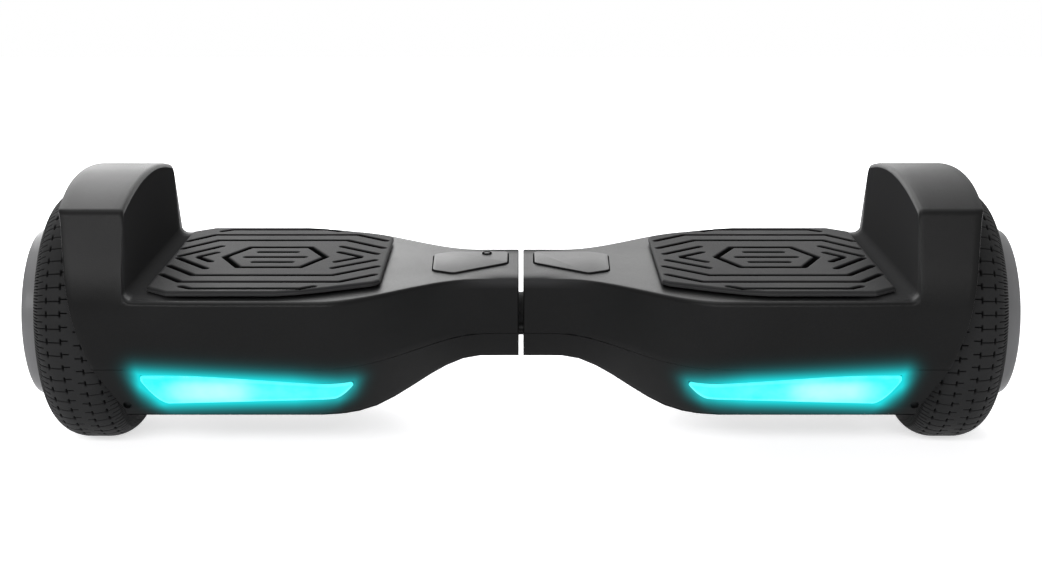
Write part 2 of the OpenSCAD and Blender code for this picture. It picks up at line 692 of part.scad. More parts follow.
stator_core_r = 0.6 * stator_r;
tooth_w = 7;
tip_t = 3;
tip_w = 12;
module tooth() translate([0, -tooth_w / 2, -stator_half]) cube([stator_r - over, tooth_w, 2 * stator_half]);
module at_teeth() for (k = [0:stator_teeth - 1]) rotate([0, 0, 360 * k / stator_teeth]) children();
module stator() along_x(wheel_x) difference() {
    intersection() {
        union() {
            translate([0, 0, -stator_half]) cylinder(r = stator_core_r, h = 2 * stator_half);
            at_teeth() tooth();
        }
        translate([0, 0, -stator_half]) cylinder(r = stator_r, h = 2 * stator_half);
    }
    translate([0, 0, -stator_half - over]) cylinder(r = axle_r + fit_clear, h = 2 * (stator_half + over));
}
module left_stator() color("#74777b") left() stator();
module right_stator() color("#74777b") stator();
coil_t = 2;
coil_r0 = stator_core_r + 2.5;
coil_r1 = stator_r - 4;
module coil() difference() {
    block(
        [coil_r0, -tooth_w / 2 - coil_t, -stator_half - coil_t],
        [coil_r1, tooth_w / 2 + coil_t, stator_half + coil_t]
    );
    block(
        [coil_r0 - over, -tooth_w / 2 - fit_clear, -stator_half - fit_clear],
        [coil_r1 + over, tooth_w / 2 + fit_clear, stator_half + fit_clear]
    );
}
module stator_coils() along_x(wheel_x) at_teeth() coil();
module left_stator_coils() color("#b06a34") left() stator_coils();
module right_stator_coils() color("#b06a34") stator_coils();
module magnet_ring() along_x(wheel_x - magnet_half)
    ring(magnet_r - fit_clear, magnet_r - magnet_t, 2 * magnet_half);
module left_magnet_ring() color("#4b4e52") left() magnet_ring();
module right_magnet_ring() color("#4b4e52") magnet_ring();

cover_screw_ring = rim_r - can_wall / 2;
cover_screw_depth = 10;
module at_cover_screws() for (k = [0:cover_screws - 1])
    rotate([0, 0, 360 * k / cover_screws]) translate([cover_screw_ring, 0, 0]) children();
module hub_shell() along_x(wheel_x) difference() {
    turned([
        [bearing_r + fit_clear, inner_bearing], [bearing_r + 4, inner_bearing], [bearing_r + 4, -can_half],
        [rim_r, -can_half], [rim_r, can_half], [magnet_r, can_half],
        [magnet_r, plate_wall - can_half], [bearing_r + 4, plate_wall - can_half],
        [bearing_r + 4, inner_bearing + bearing_w], [bearing_r + fit_clear, inner_bearing + bearing_w]
    ]);
    at_cover_screws() translate([0, 0, can_half - cover_screw_depth])
        cylinder(r = cover_screw_r + fit_clear, h = cover_screw_depth + over);
}
module left_hub_shell() color("#2b2c2e") left() hub_shell();
module right_hub_shell() color("#2b2c2e") hub_shell();
module hub_bearings() for (u = [inner_bearing, outer_bearing])
    along_x(wheel_x + u) ring(bearing_r, axle_r + run_clear, bearing_w);
module left_hub_bearings() color("#c9cbce") left() hub_bearings();
module right_hub_bearings() color("#c9cbce") hub_bearings();

// Tyre: level middle, rounded shoulders and side walls that step in to the rim, with its seam at the top
tyre_half = tyre_w / 2;
tyre_h = wheel_d / 2 - rim_r;
tread_drop = shoulder_share * tyre_h;
tyre_side = concat(
    [[rim_r, can_half], [rim_r + 0.2 * tyre_h, can_half + 0.5], [rim_r + 0.3 * tyre_h, tyre_half - 1]],
    [for (a = [90:-15:0]) [
        wheel_d / 2 - tread_drop * (1 - cos(a)), tread_land + (tyre_half - tread_land) * sin(a)
    ]]
);
module tyre() along_x(wheel_x) rotate([0, 0, 180]) turned(concat(
    tyre_side,
    [for (i = [len(tyre_side) - 1:-1:0]) [tyre_side[i][0], -tyre_side[i][1]]]
));
module left_tyre() color("#2e2e2e") left() tyre();
module right_tyre() color("#2e2e2e") tyre();

cover_top = can_half + cover_depth;
cover_in_r = magnet_r - 4;
cover_dome = 2;
cover_seat = cover_depth - 8;
module hub_cover() along_x(wheel_x) difference() {
    turned([
        [cover_in_r, can_half], [rim_r, can_half], [rim_r, can_half + 0.8], [rim_r + 5, can_half + 0.8],
        [cover_r, cover_top - cover_dome], [0.67 * cover_r, cover_top - 0.45 * cover_dome],
        [0.33 * cover_r, cover_top - 0.1 * cover_dome], [0, cover_top], [0, cover_top - cover_web],
        [bearing_r - 3, cover_top - cover_web], [bearing_r - 3, outer_bearing + bearing_w + 0.1],
        [bearing_r + fit_clear, outer_bearing + bearing_w + 0.1], [bearing_r + fit_clear, outer_bearing],
        [bearing_r + 4, outer_bearing], [bearing_r + 4, cover_top - cover_web],
        [cover_in_r, cover_top - cover_web]
    ]);
    at_cover_screws() {
        translate([0, 0, can_half - over]) cylinder(r = cover_screw_r + fit_clear, h = cover_depth);
        translate([0, 0, can_half + cover_seat])
            cylinder(r = 2 * cover_screw_r + free_clear, h = cover_depth);
    }
}
module left_hub_cover() color("#7c7d7f") left() hub_cover();
module right_hub_cover() color("#7c7d7f") hub_cover();
module hub_cover_screws() along_x(wheel_x) at_cover_screws() {
    translate([0, 0, can_half - cover_screw_depth])
        cylinder(r = cover_screw_r, h = cover_screw_depth + cover_seat);
    translate([0, 0, can_half + cover_seat]) cylinder(r = 2 * cover_screw_r, h = 2 * cover_screw_r);
}
module left_hub_cover_screws() color("#5b5d60") left() hub_cover_screws();
module right_hub_cover_screws() color("#5b5d60") hub_cover_screws();

// Electronics
floor_z = axle_z - belly_drop + shell_t;
battery_x0 = clamp_x1 - battery_l - 4;
battery_corner = 8;
module battery_pack() color("#2f62a8") translate([-battery_x0 - battery_l, -battery_w / 2, floor_z])
    linear_extrude(height = battery_h) polygon([
        [battery_corner, 0], [battery_l - battery_corner, 0], [battery_l, battery_corner],
        [battery_l, battery_w - battery_corner], [battery_l - battery_corner, battery_w],
        [battery_corner, battery_w], [0, battery_w - battery_corner], [0, battery_corner]
    ]);
main_board_x0 = 112;
main_board_y = -1;
sink_h = 11;
sink_half = 42;
sink_end = 6;
fins = 9;
fin_t = 3;
fin_h = 6;
cap_r = 6;
cap_h = 9;
main_board_z = plate_z - plate_t - sink_h;
module main_board() color("#1f6b43") translate([0, main_board_y, 0]) {
    x1 = main_board_x0 + main_board_l;
    low = main_board_z - board_t;
    block([main_board_x0, -main_board_w / 2, low], [x1, main_board_w / 2, main_board_z]);
    for (k = [0:2]) translate([main_board_x0 + 18 + 18 * k, main_board_w / 3, low - cap_h])
        cylinder(r = cap_r, h = cap_h + board_t / 2);
    for (k = [0:3]) translate([main_board_x0 + 8 + 20 * k, 2 - main_board_w / 2, low - cap_h])
        cube([14, 8, cap_h + board_t / 2]);
}
module heat_sink() color("#a9acb0") translate([0, main_board_y, 0]) {
    x0 = main_board_x0 + sink_end;
    x1 = main_board_x0 + main_board_l - sink_end;
    top = plate_z - plate_t;
    block([x0, -sink_half, main_board_z], [x1, sink_half, top - fin_h]);
    for (k = [0:fins - 1]) let (y = mix(-sink_half, sink_half - fin_t, k / (fins - 1)))
        block([x0, y, top - fin_h - over], [x1, y + fin_t, top]);
}
module sensor_board() {
    block([sensor_x0, -sensor_w / 2, sensor_z], [sensor_x0 + sensor_l, sensor_w / 2, sensor_z + board_t]);
    at_plungers() translate([-3, -3, sensor_z + board_t / 2]) cube([6, 6, switch_h + board_t / 2]);
}
module left_sensor_board() color("#1f6b43") left() sensor_board();
module right_sensor_board() color("#1f6b43") sensor_board();

// Power button in its switch, square to the rear face
button_proud = 1.2;
button_depth = 5;
button_stem_r = 2.5;
switch_top = -shell_t - 1;
switch_floor = -button_depth - button_travel - 0.4;
switch_wall = 2;
switch_depth = 6;
module power_button() color("#323335") on_rear(button_x) {
    translate([0, 0, -button_depth]) cylinder(r = button_r, h = button_depth + button_proud);
    translate([0, 0, switch_floor - 3]) cylinder(r = button_stem_r, h = 3 - switch_floor - button_depth + over);
}
module power_switch() color("#151515") on_rear(button_x) difference() {
    translate([0, 0, switch_floor - switch_depth])
        cylinder(r = button_r + free_clear + switch_wall, h = switch_top - switch_floor + switch_depth);
    translate([0, 0, switch_floor]) cylinder(r = button_r + free_clear, h = button_depth * 2);
    translate([0, 0, switch_floor - 3 - button_travel - 0.4])
        cylinder(r = button_stem_r + free_clear, h = button_depth);
}

// Charge socket with three contacts, and its cap on a hinge above it
flange_out = 2.5;
flange_h = 1.5;
contact_r = 0.9;
contact_ring = socket_r / 2;
contact_h = 6;
cap_gap = 0.3;
cap_t = 1.8;
cap_plug_r = socket_r - 0.9;
cap_plug_h = 2;
hinge_y = -(socket_body_r + flange_out + 1.4);
hinge_z = flange_h + cap_gap + 1;
hinge_r = 0.8;
knuckle_r = 1.9;
knuckle_half = 3;
lug_t = 2;
lug_half = 1.5;
module across(half, r) rotate([0, 90, 0]) translate([0, 0, -half]) cylinder(r = r, h = 2 * half);
module charge_socket() color("#1b1b1d") on_rear(socket_x) {
    difference() {
        union() {
            translate([0, 0, -socket_depth - 2]) cylinder(r = socket_body_r, h = socket_depth + 2 + flange_h);
            cylinder(r = socket_body_r + flange_out, h = flange_h);
        }
        translate([0, 0, -socket_depth]) cylinder(r = socket_r, h = socket_depth + flange_h + over);
    }
    for (a = [0:120:240]) rotate([0, 0, a]) translate([contact_ring, 0, -socket_depth - over])
        cylinder(r = contact_r, h = contact_h + over);
    for (s = [-1, 1]) translate([s * (knuckle_half + free_clear + lug_t / 2), hinge_y, 0]) {
        block([-lug_t / 2, -lug_half, 0], [lug_t / 2, lug_half, hinge_z + lug_half]);
        block([-lug_t / 2, -lug_half, 0], [lug_t / 2, 2 * lug_half, flange_h]);
    }
    translate([0, hinge_y, hinge_z]) across(knuckle_half + free_clear + lug_t / 2, hinge_r);
}
module charge_cap() color("#232325") on_rear(socket_x) {
    cap_r = socket_body_r + flange_out - 0.6;
    cap_z = flange_h + cap_gap;
    translate([0, 0, cap_z]) cylinder(r = cap_r, h = cap_t);
    translate([0, 0, cap_z - cap_plug_h]) cylinder(r = cap_plug_r, h = cap_plug_h + over);
    difference() {
        union() {
            translate([0, hinge_y, hinge_z]) across(knuckle_half, knuckle_r);
            block(
                [-knuckle_half, hinge_y, cap_z + 0.2],
                [knuckle_half, hinge_y + 6, cap_z + cap_t]
            );
        }
        translate([0, hinge_y, hinge_z]) across(knuckle_half + over, hinge_r + run_clear);
    }
}

left_upper_shell();
right_upper_shell();
left_lower_shell();
right_lower_shell();
left_foot_mat();
right_foot_mat();
left_headlight_lens();
right_headlight_lens();
left_led_strip();
right_led_strip();
left_top_panel();
right_top_panel();
indicator_lens();
left_frame();
right_frame();
pivot_tube();
pivot_bushes();
pivot_spacer();
retaining_ring();
twist_limit_pin();
left_axle_clamp();
right_axle_clamp();
left_clamp_bolts();
right_clamp_bolts();
left_shell_screws();
right_shell_screws();
left_axle();
right_axle();
left_stator();
right_stator();
left_stator_coils();
right_stator_coils();
left_magnet_ring();
right_magnet_ring();
left_hub_shell();
right_hub_shell();
left_hub_bearings();
right_hub_bearings();
left_tyre();
right_tyre();
left_hub_cover();
right_hub_cover();
left_hub_cover_screws();
right_hub_cover_screws();
battery_pack();
main_board();
heat_sink();
left_sensor_board();
right_sensor_board();
power_button();
power_switch();
charge_socket();
charge_cap();
cross_cable();
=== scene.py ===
"""Looks of the self-balancing hoverboard: finer skins, treads, grooves and finishes around its CAD frame.

Sizes are millimetres in the frame's axes: +X to the right wheel, -Y to the headlights, +Z up.
Materials, lights and camera are in metres. Each side is made at +X and mirrored for the left half.
"""

import json
import math

import bmesh
import bpy
import numpy as np
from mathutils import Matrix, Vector


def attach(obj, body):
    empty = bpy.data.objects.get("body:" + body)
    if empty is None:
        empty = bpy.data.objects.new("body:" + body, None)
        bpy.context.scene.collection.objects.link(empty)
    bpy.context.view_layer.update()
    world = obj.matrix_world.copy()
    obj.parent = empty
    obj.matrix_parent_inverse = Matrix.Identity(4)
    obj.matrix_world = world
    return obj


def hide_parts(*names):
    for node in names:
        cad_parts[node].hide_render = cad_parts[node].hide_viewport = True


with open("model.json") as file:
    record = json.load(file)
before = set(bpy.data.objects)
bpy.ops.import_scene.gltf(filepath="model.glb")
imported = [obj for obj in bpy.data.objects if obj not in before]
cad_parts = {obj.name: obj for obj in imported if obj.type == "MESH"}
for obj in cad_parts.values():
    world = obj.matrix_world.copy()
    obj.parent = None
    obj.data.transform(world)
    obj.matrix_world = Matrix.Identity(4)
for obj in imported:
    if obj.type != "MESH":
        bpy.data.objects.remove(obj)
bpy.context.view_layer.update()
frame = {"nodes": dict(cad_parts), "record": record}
nodes = frame["nodes"]
body_of = {n: b for b, names in frame["record"]["behaviour"]["bodies"].items() for n in names}
scene = bpy.context.scene
MM = 0.001
SIDES = (("left", -1), ("right", 1))

# Sizes shared with the CAD
AXLE_Z = 82.5
DECK_Z = 115.0
CROWN_Z = 177.5
CREASE_Z = 167.0
CREASE_HALF = 75.0
BODY_HALF = 95.0
WAIST_HALF = 40.0
WAIST_X0, WAIST_X1 = 28, 124
FENDER_X = 241.0
WELL_X = 244.0
WHEEL_X = 277.0
HALF_GAP = 1.5
SHELL_T = 3.0
SEAM_INSET = 3.0
WAIST_SEAM_DROP, SEAM_DROP = 4.5, 11.5
SEAM_X0, SEAM_X1 = 15, 95
BELLY_DROP = 46.5
BELLY_TUCK = 12
EDGE_R = 3.5
WAIST_EDGE_R = 2.0


def rise(value, start, end):
    """Smooth step from 0 at start to 1 at end, which may lie below start."""
    t = np.clip((value - start) / (end - start), 0.0, 1.0)
    return t * t * (3 - 2 * t)


def mix(a, b, t):
    return a + (b - a) * t


def waist_at(x):
    """0 at the narrow waist, 1 where the body has its full depth."""
    return rise(x, WAIST_X0, WAIST_X1)


def plan_half(x):
    return mix(WAIST_HALF, BODY_HALF, waist_at(x))


def seam_z(x):
    """Height of the parting line between upper and lower shell."""
    return AXLE_Z - mix(WAIST_SEAM_DROP, SEAM_DROP, rise(x, SEAM_X0, SEAM_X1))


def face_y(x, z):
    """Half depth of the lower shell's leaning face at height z."""
    return plan_half(x) - SEAM_INSET - BELLY_TUCK * (seam_z(x) - z) / (BELLY_DROP - SEAM_DROP)


# Mesh helpers

WELD = 2e-6


def link(name, mesh):
    obj = bpy.data.objects.new(name, mesh)
    scene.collection.objects.link(obj)
    return obj


def shade(mesh, angle):
    mesh.shade_smooth()
    mesh.set_sharp_from_angle(angle=math.radians(angle))


def mesh_from(name, verts, faces, side=1, angle=38, tidy=True):
    """Object from points in mm; side -1 mirrors it to the left half."""
    pts = np.asarray(verts, float) * MM
    pts[:, 0] *= side
    mesh = bpy.data.meshes.new(name)
    mesh.from_pydata(pts.tolist(), [], [list(f) if side > 0 else list(f)[::-1] for f in faces])
    if tidy:
        bm = bmesh.new()
        bm.from_mesh(mesh)
        bmesh.ops.remove_doubles(bm, verts=bm.verts, dist=WELD)
        bmesh.ops.recalc_face_normals(bm, faces=bm.faces)
        bm.to_mesh(mesh)
        bm.free()
    shade(mesh, angle)
    return link(name, mesh)


def quads(n_rings, n_pts, closed=False):
    """Faces between rings of points that follow one another."""
    cols = n_pts if closed else n_pts - 1
    s, i = np.meshgrid(np.arange(n_rings - 1), np.arange(cols), indexing="ij")
    j = (i + 1) % n_pts
    a = s * n_pts
    b = a + n_pts
    return np.stack([a + i, b + i, b + j, a + j], -1).reshape(-1, 4).tolist()


def wheel_quads(around, n_pts):
    """Faces of a piece turned about the axle, from its profile repeated round the circle."""
    i, j = np.meshgrid(np.arange(around), np.arange(n_pts - 1), indexing="ij")
    k = (i + 1) % around
    here, ahead = i * n_pts + j, k * n_pts + j
    return np.stack([here, ahead, ahead + 1, here + 1], -1).reshape(-1, 4).tolist()


def set_attribute(obj, name, values):
    layer = obj.data.attributes.new(name, "FLOAT", "POINT")
    layer.data.foreach_set("value", np.asarray(values, np.float32))


def refined_copy(node, bevel):
    """A smooth copy of a CAD node that stands for it, with small bevels on its edges."""
    mesh = nodes[node].data.copy()
    mesh.name = node + "_fine"
    mesh.materials.clear()
    if mesh.has_custom_normals:
        layer = mesh.attributes.get("custom_normal")
        if layer:
            mesh.attributes.remove(layer)
    bm = bmesh.new()
    bm.from_mesh(mesh)
    bmesh.ops.remove_doubles(bm, verts=bm.verts, dist=WELD)
    bmesh.ops.dissolve_limit(
        bm, angle_limit=math.radians(0.5), verts=bm.verts, edges=bm.edges, use_dissolve_boundaries=False
    )
    bm.to_mesh(mesh)
    bm.free()
    shade(mesh, 32)
    obj = link(node + "_fine", mesh)
    mod = obj.modifiers.new("edge", "BEVEL")
    mod.width = bevel * MM
    mod.segments = 2
    mod.limit_method = "ANGLE"
    mod.angle_limit = math.radians(40)
    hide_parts(node)
    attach(obj, body_of[node])
    return obj


def wear(obj, *mats):
    obj.data.materials.clear()
    for mat in mats:
        obj.data.materials.append(mat)
    return obj


# Materials

MIX_A, MIX_B, MIX_OUT = 6, 7, 2  # colour sockets of the Mix node
PATCH_SCALE = 14.0
GRAIN_DEPTH = 0.0004


def bsdf_of(mat):
    return mat.node_tree.nodes["Principled BSDF"]


def new_material(name):
    mat = bpy.data.materials.new(name)
    mat.use_nodes = True
    return mat, mat.node_tree, bsdf_of(mat)


def add(tree, kind, **values):
    """New node, with values for its inputs or, where it has no such input, its properties."""
    node = tree.nodes.new(kind)
    for key, value in values.items():
        if key in node.inputs:
            node.inputs[key].default_value = value
        else:
            setattr(node, key, value)
    return node


def math_node(tree, operation, a, b=None):
    node = tree.nodes.new("ShaderNodeMath")
    node.operation = operation
    for socket, value in zip(node.inputs, (a, b)):
        if value is None:
            continue
        if isinstance(value, (int, float)):
            socket.default_value = value
        else:
            tree.links.new(value, socket)
    return node.outputs[0]


def attribute(tree, name):
    return add(tree, "ShaderNodeAttribute", attribute_name=name).outputs["Fac"]


def object_coords(tree):
    return add(tree, "ShaderNodeTexCoord").outputs["Object"]


def object_normal(tree):
    """X, Y and Z of the surface's normal in the piece's own axes."""
    split = add(tree, "ShaderNodeSeparateXYZ")
    tree.links.new(add(tree, "ShaderNodeTexCoord").outputs["Normal"], split.inputs[0])
    return split.outputs


def noise(tree, coords, scale, detail=3.0):
    node = add(tree, "ShaderNodeTexNoise", Scale=scale, Detail=detail, Roughness=0.55)
    tree.links.new(coords, node.inputs["Vector"])
    return node.outputs["Fac"]


def ramp(tree, value, low, high, start=0.3, end=0.7):
    node = add(tree, "ShaderNodeMapRange")
    node.inputs["From Min"].default_value = start
    node.inputs["From Max"].default_value = end
    node.inputs["To Min"].default_value = low
    node.inputs["To Max"].default_value = high
    tree.links.new(value, node.inputs["Value"])
    return node.outputs["Result"]


def two_tone(tree, value, dark, light):
    node = add(tree, "ShaderNodeMix", data_type="RGBA")
    node.inputs[MIX_A].default_value = (*dark, 1)
    node.inputs[MIX_B].default_value = (*light, 1)
    tree.links.new(value, node.inputs["Factor"])
    return node.outputs[MIX_OUT]


def tint(tree, bsdf, factor, colour):
    """Lead the base colour over to another one as factor goes to 1."""
    node = add(tree, "ShaderNodeMix", data_type="RGBA")
    tree.links.new(factor, node.inputs["Factor"])
    tree.links.new(bsdf.inputs["Base Color"].links[0].from_socket, node.inputs[MIX_A])
    node.inputs[MIX_B].default_value = (*colour, 1)
    tree.links.new(node.outputs[MIX_OUT], bsdf.inputs["Base Color"])


def bump(tree, bsdf, height, strength):
    node = add(tree, "ShaderNodeBump", Strength=strength, Distance=GRAIN_DEPTH)
    tree.links.new(height, node.inputs["Height"])
    tree.links.new(node.outputs["Normal"], bsdf.inputs["Normal"])


def finish(name, dark, light, rough, grain, strength, metallic=0.0, specular=0.5):
    """A finish with a fine grain, slow patches in its sheen and a slightly uneven colour."""
    mat, tree, bsdf = new_material(name)
    coords = object_coords(tree)
    fine = noise(tree, coords, grain, 2.0)
    patch = noise(tree, coords, PATCH_SCALE, 4.0)
    tree.links.new(two_tone(tree, ramp(tree, patch, 0, 1), dark, light), bsdf.inputs["Base Color"])
    sheen = math_node(tree, "ADD", ramp(tree, patch, *rough), ramp(tree, fine, -0.03, 0.03))
    tree.links.new(sheen, bsdf.inputs["Roughness"])
    bsdf.inputs["Metallic"].default_value = metallic
    bsdf.inputs["Specular IOR Level"].default_value = specular
    bump(tree, bsdf, fine, strength)
    return mat


def grey(v):
    return (v, v, v * 1.02)


# name, dark and light tone, roughness, grain and its strength
PANEL = finish("panel_plastic", grey(0.007), grey(0.010), (0.36, 0.43), 1800, 0.16, specular=0.16)
EDGE = finish("edge_shadow", grey(0.004), grey(0.007), (0.6, 0.7), 900, 0.3, specular=0.0)
SLEEVE = finish("sleeve_plastic", grey(0.024), grey(0.032), (0.4, 0.5), 1200, 0.2, specular=0.15)
STEEL = finish("turned_steel", grey(0.36), grey(0.46), (0.25, 0.4), 600, 0.1, metallic=1.0)
PIN = finish("dark_steel", grey(0.03), grey(0.04), (0.4, 0.5), 700, 0.1, metallic=0.4, specular=0.1)
SCREW = finish("black_screw", grey(0.03), grey(0.05), (0.3, 0.45), 900, 0.2, metallic=1.0)
CAST = finish("cast_aluminium", grey(0.45), grey(0.56), (0.4, 0.55), 700, 0.4, metallic=1.0)
BRONZE = finish("bronze_bush", (0.4, 0.25, 0.1), (0.5, 0.32, 0.14), (0.35, 0.5), 800, 0.3, metallic=1.0)
CORE = finish("stator_core", grey(0.2), grey(0.28), (0.4, 0.55), 500, 0.3, metallic=1.0)
COPPER = finish("copper_wire", (0.5, 0.2, 0.08), (0.62, 0.27, 0.11), (0.25, 0.4), 900, 0.4, metallic=1.0)
HUB = finish("hub_paint", grey(0.02), grey(0.03), (0.35, 0.5), 800, 0.3, metallic=0.3)
COVER = finish("hub_cover_paint", grey(0.11), grey(0.14), (0.3, 0.42), 900, 0.2, metallic=0.1, specular=0.3)
BOARD = finish("circuit_board", (0.01, 0.09, 0.035), (0.015, 0.12, 0.05), (0.3, 0.45), 500, 0.4)
WRAP = finish("battery_wrap", (0.02, 0.06, 0.22), (0.03, 0.08, 0.27), (0.25, 0.4), 300, 0.4)
CABLE = finish("cable_jacket", grey(0.008), grey(0.012), (0.45, 0.6), 700, 0.3)
LED = finish("led_strip", (0.6, 0.72, 0.72), (0.75, 0.85, 0.85), (0.4, 0.5), 400, 0.2)


def groove_shade_finish(name, dark, light, groove, rough, grain, strength, shine):
    """Rubber with painted shade in its grooves, held in the attribute groove: there its colour is darker,
    its reflection is taken away and it is rougher.
    """
    mat = finish(name, dark, light, rough, grain, strength)
    tree, bsdf = mat.node_tree, bsdf_of(mat)
    attr = attribute(tree, "groove")
    tint(tree, bsdf, attr, groove)
    dull = math_node(tree, "MULTIPLY", attr, 0.35)
    sheen = bsdf.inputs["Roughness"].links[0].from_socket
    tree.links.new(math_node(tree, "ADD", sheen, dull), bsdf.inputs["Roughness"])
    tree.links.new(ramp(tree, attr, shine, 0.0, 0, 1), bsdf.inputs["Specular IOR Level"])
    return mat


# The fourth value, the groove tone, is painted shade in the grooves of mat and tyre
MAT = groove_shade_finish("mat_rubber", grey(0.015), grey(0.019), grey(0.002), (0.56, 0.64), 1600, 0.3, 0.06)
# Same rubber as the mat in a lighter tone: painted light on the mat's sides
MAT_SIDE_LIT = finish("mat_side_rubber", grey(0.030), grey(0.037), (0.5, 0.6), 1600, 0.3, specular=0.05)
TYRE = groove_shade_finish("tyre_rubber", grey(0.012), grey(0.017), grey(0.003), (0.55, 0.65), 1100, 0.4, 0.08)

GLOW_COOL, GLOW_HOT = (0.04, 0.9, 0.95), (0.5, 1.0, 0.98)


def lens_material():
    """Lit cyan lens: whiter round its lamp, even elsewhere, under a clear skin."""
    mat, tree, bsdf = new_material("headlight_glow")
    coords = object_coords(tree)
    hot = attribute(tree, "hot")
    grain = ramp(tree, noise(tree, coords, 90, 2.0), -0.06, 0.06)
    glow = two_tone(tree, math_node(tree, "ADD", hot, grain), GLOW_COOL, GLOW_HOT)
    tree.links.new(glow, bsdf.inputs["Emission Color"])
    strength = math_node(tree, "ADD", math_node(tree, "MULTIPLY", hot, 0.35), 0.95)
    tree.links.new(strength, bsdf.inputs["Emission Strength"])
    bsdf.inputs["Base Color"].default_value = (0.0, 0.2, 0.22, 1)
    bsdf.inputs["Roughness"].default_value = 0.12
    bsdf.inputs["Specular IOR Level"].default_value = 0.1
    bump(tree, bsdf, noise(tree, coords, 420, 2.0), 0.05)
    return mat


LENS = lens_material()

# Sides of the headlight's window as a * x + b * z + c in metres, above nought outside it
HALO_SIDES = [
    (-0.0569, 1, -0.0545), (-0.03, -1, 0.0530), (0.725, -0.688, -0.1292), (1, 0, -0.2345),
    (-0.673, -0.739, 0.1120), (-1, 0, 0.1035),
]
HALO_FALL, HALO_POWER = 227.0, 1.3
HALO_GLOW = 0.75
FRONT_Y = -0.03
WELL_EDGE = WELL_X * MM - 0.0003


def beyond(tree, x, z, a, b, c):
    """a * x + b * z + c, never below nought."""
    total = math_node(tree, "ADD", math_node(tree, "MULTIPLY", x, a), math_node(tree, "MULTIPLY", z, b))
    return math_node(tree, "MAXIMUM", math_node(tree, "ADD", total, c), 0.0)


def add_halo(mat):
    """Soft cyan glow of the headlight on the front face round its window, but not in the wheel well."""
    tree, bsdf = mat.node_tree, bsdf_of(mat)
    split = add(tree, "ShaderNodeSeparateXYZ")
    tree.links.new(object_coords(tree), split.inputs[0])
    x = math_node(tree, "ABSOLUTE", split.outputs["X"])
    z = split.outputs["Z"]
    far = 0.0
    for a, b, c in HALO_SIDES:
        far = math_node(tree, "ADD", math_node(tree, "POWER", beyond(tree, x, z, a, b, c), 2.0), far)
    reach = math_node(tree, "MULTIPLY", math_node(tree, "SQRT", far), HALO_FALL)
    reach = math_node(tree, "POWER", reach, HALO_POWER)
    fall = math_node(tree, "EXPONENT", math_node(tree, "MULTIPLY", reach, -1.0))
    outside = math_node(
        tree, "MAXIMUM", math_node(tree, "LESS_THAN", x, WELL_EDGE),
        ramp(tree, object_normal(tree)["Y"], 1.0, 0.0, -0.8, -0.5),
    )
    front = math_node(tree, "MULTIPLY", math_node(tree, "LESS_THAN", split.outputs["Y"], FRONT_Y), outside)
    share = math_node(tree, "MULTIPLY", front, ramp(tree, x, 0.35, 1.0, 0.1, 0.14))
    glow = math_node(tree, "MULTIPLY", math_node(tree, "MULTIPLY", fall, share), HALO_GLOW)
    bsdf.inputs["Emission Color"].default_value = (0.0, 0.95, 1.0, 1)
    tree.links.new(glow, bsdf.inputs["Emission Strength"])


SHELL_SHINE = 0.09
# Flat grey of the painted shade on the upper shell, taking the place of its reflection
PAINTED_SHADE_TONE = grey(0.029)


def shell_finish(name):
    """Satin shell plastic with the headlight's glow."""
    mat = finish(name, grey(0.003), grey(0.005), (0.33, 0.40), 1500, 0.16)
    add_halo(mat)
    return mat, mat.node_tree, bsdf_of(mat)


def upper_material():
    """Shell plastic with painted shade: where its shade attribute is high, its reflection is taken away and
    its colour goes to a flat grey.
    """
    mat, tree, bsdf = shell_finish("shell_plastic")
    attr = attribute(tree, "cavity")
    tint(tree, bsdf, attr, PAINTED_SHADE_TONE)
    tree.links.new(ramp(tree, attr, SHELL_SHINE, 0.0, 0, 1), bsdf.inputs["Specular IOR Level"])
    return mat


def lower_material():
    """Shell plastic with painted shade on its underside: its reflection fades out where it faces down."""
    mat, tree, bsdf = shell_finish("lower_shell_plastic")
    # Painted shade: no reflection on faces that point down
    shine = ramp(tree, object_normal(tree)["Z"], 0.0, SHELL_SHINE, -0.75, -0.45)
    tree.links.new(shine, bsdf.inputs["Specular IOR Level"])
    return mat


SHELL = upper_material()
LOWER = lower_material()


# Upper shells: one skin from the hole at the gap, over deck and fender, round into the wheel well

LIP_POINTS = [(-3, 0.15), (-0.5, 0.15), (-0.12, 0.22)]  # depth and height from the seam's corner
N_FACE, N_EDGE, N_TOP, N_CREASE = 9, 9, 14, 5
N_HALF = len(LIP_POINTS) + N_FACE + N_EDGE + N_TOP
FACE_FOOT, FACE_IN, FACE_OUT = 0.4, 0.75, 1
LEAN, LEAN_Z, LEAN_RUN = 0.4, 92, 44
LEAN_X = 196
CREASE_R = 3.2
CREASE_FOOT = 3.5
DECK_XS = np.concatenate([np.linspace(4, 128, 42), [150, 180, 205, 222, 231]])
PIVOT_HOLE_R, PIVOT_HOLE_X = 14, 6.0
AXLE_HOLE_R = 13
GAP_ROUND = 0.7
FENDER_FILLET = 5.5
FENDER_RIM = 3.0
RIM_X = FENDER_X + 0.3
ROUND_SHARE = 0.45  # of a short wall that its rounding may take
# How far the fender's outer edge lies back, and how deep it is through the wall there
OUTER_EDGE = ((0.9, 0.0), (0.25, 0.08), (0.0, 0.3), (0.0, 0.7), (0.25, 0.92), (0.9, 1.0))
EDGE_Z = [42, 59.5, 75.75, 99.5, 124.5, 167, 177.5]
EDGE_X = [246, 255.9, 264.7, 271.5, 275.6, 280, 286]


def lean_at(z):
    """How far the fender's face has come in at height z: a bend, then a straight slope."""
    bend = np.clip(z - LEAN_Z, 0, LEAN_RUN) ** 2 / (2 * LEAN_RUN)
    return LEAN * (bend + np.maximum(z - LEAN_Z - LEAN_RUN, 0))


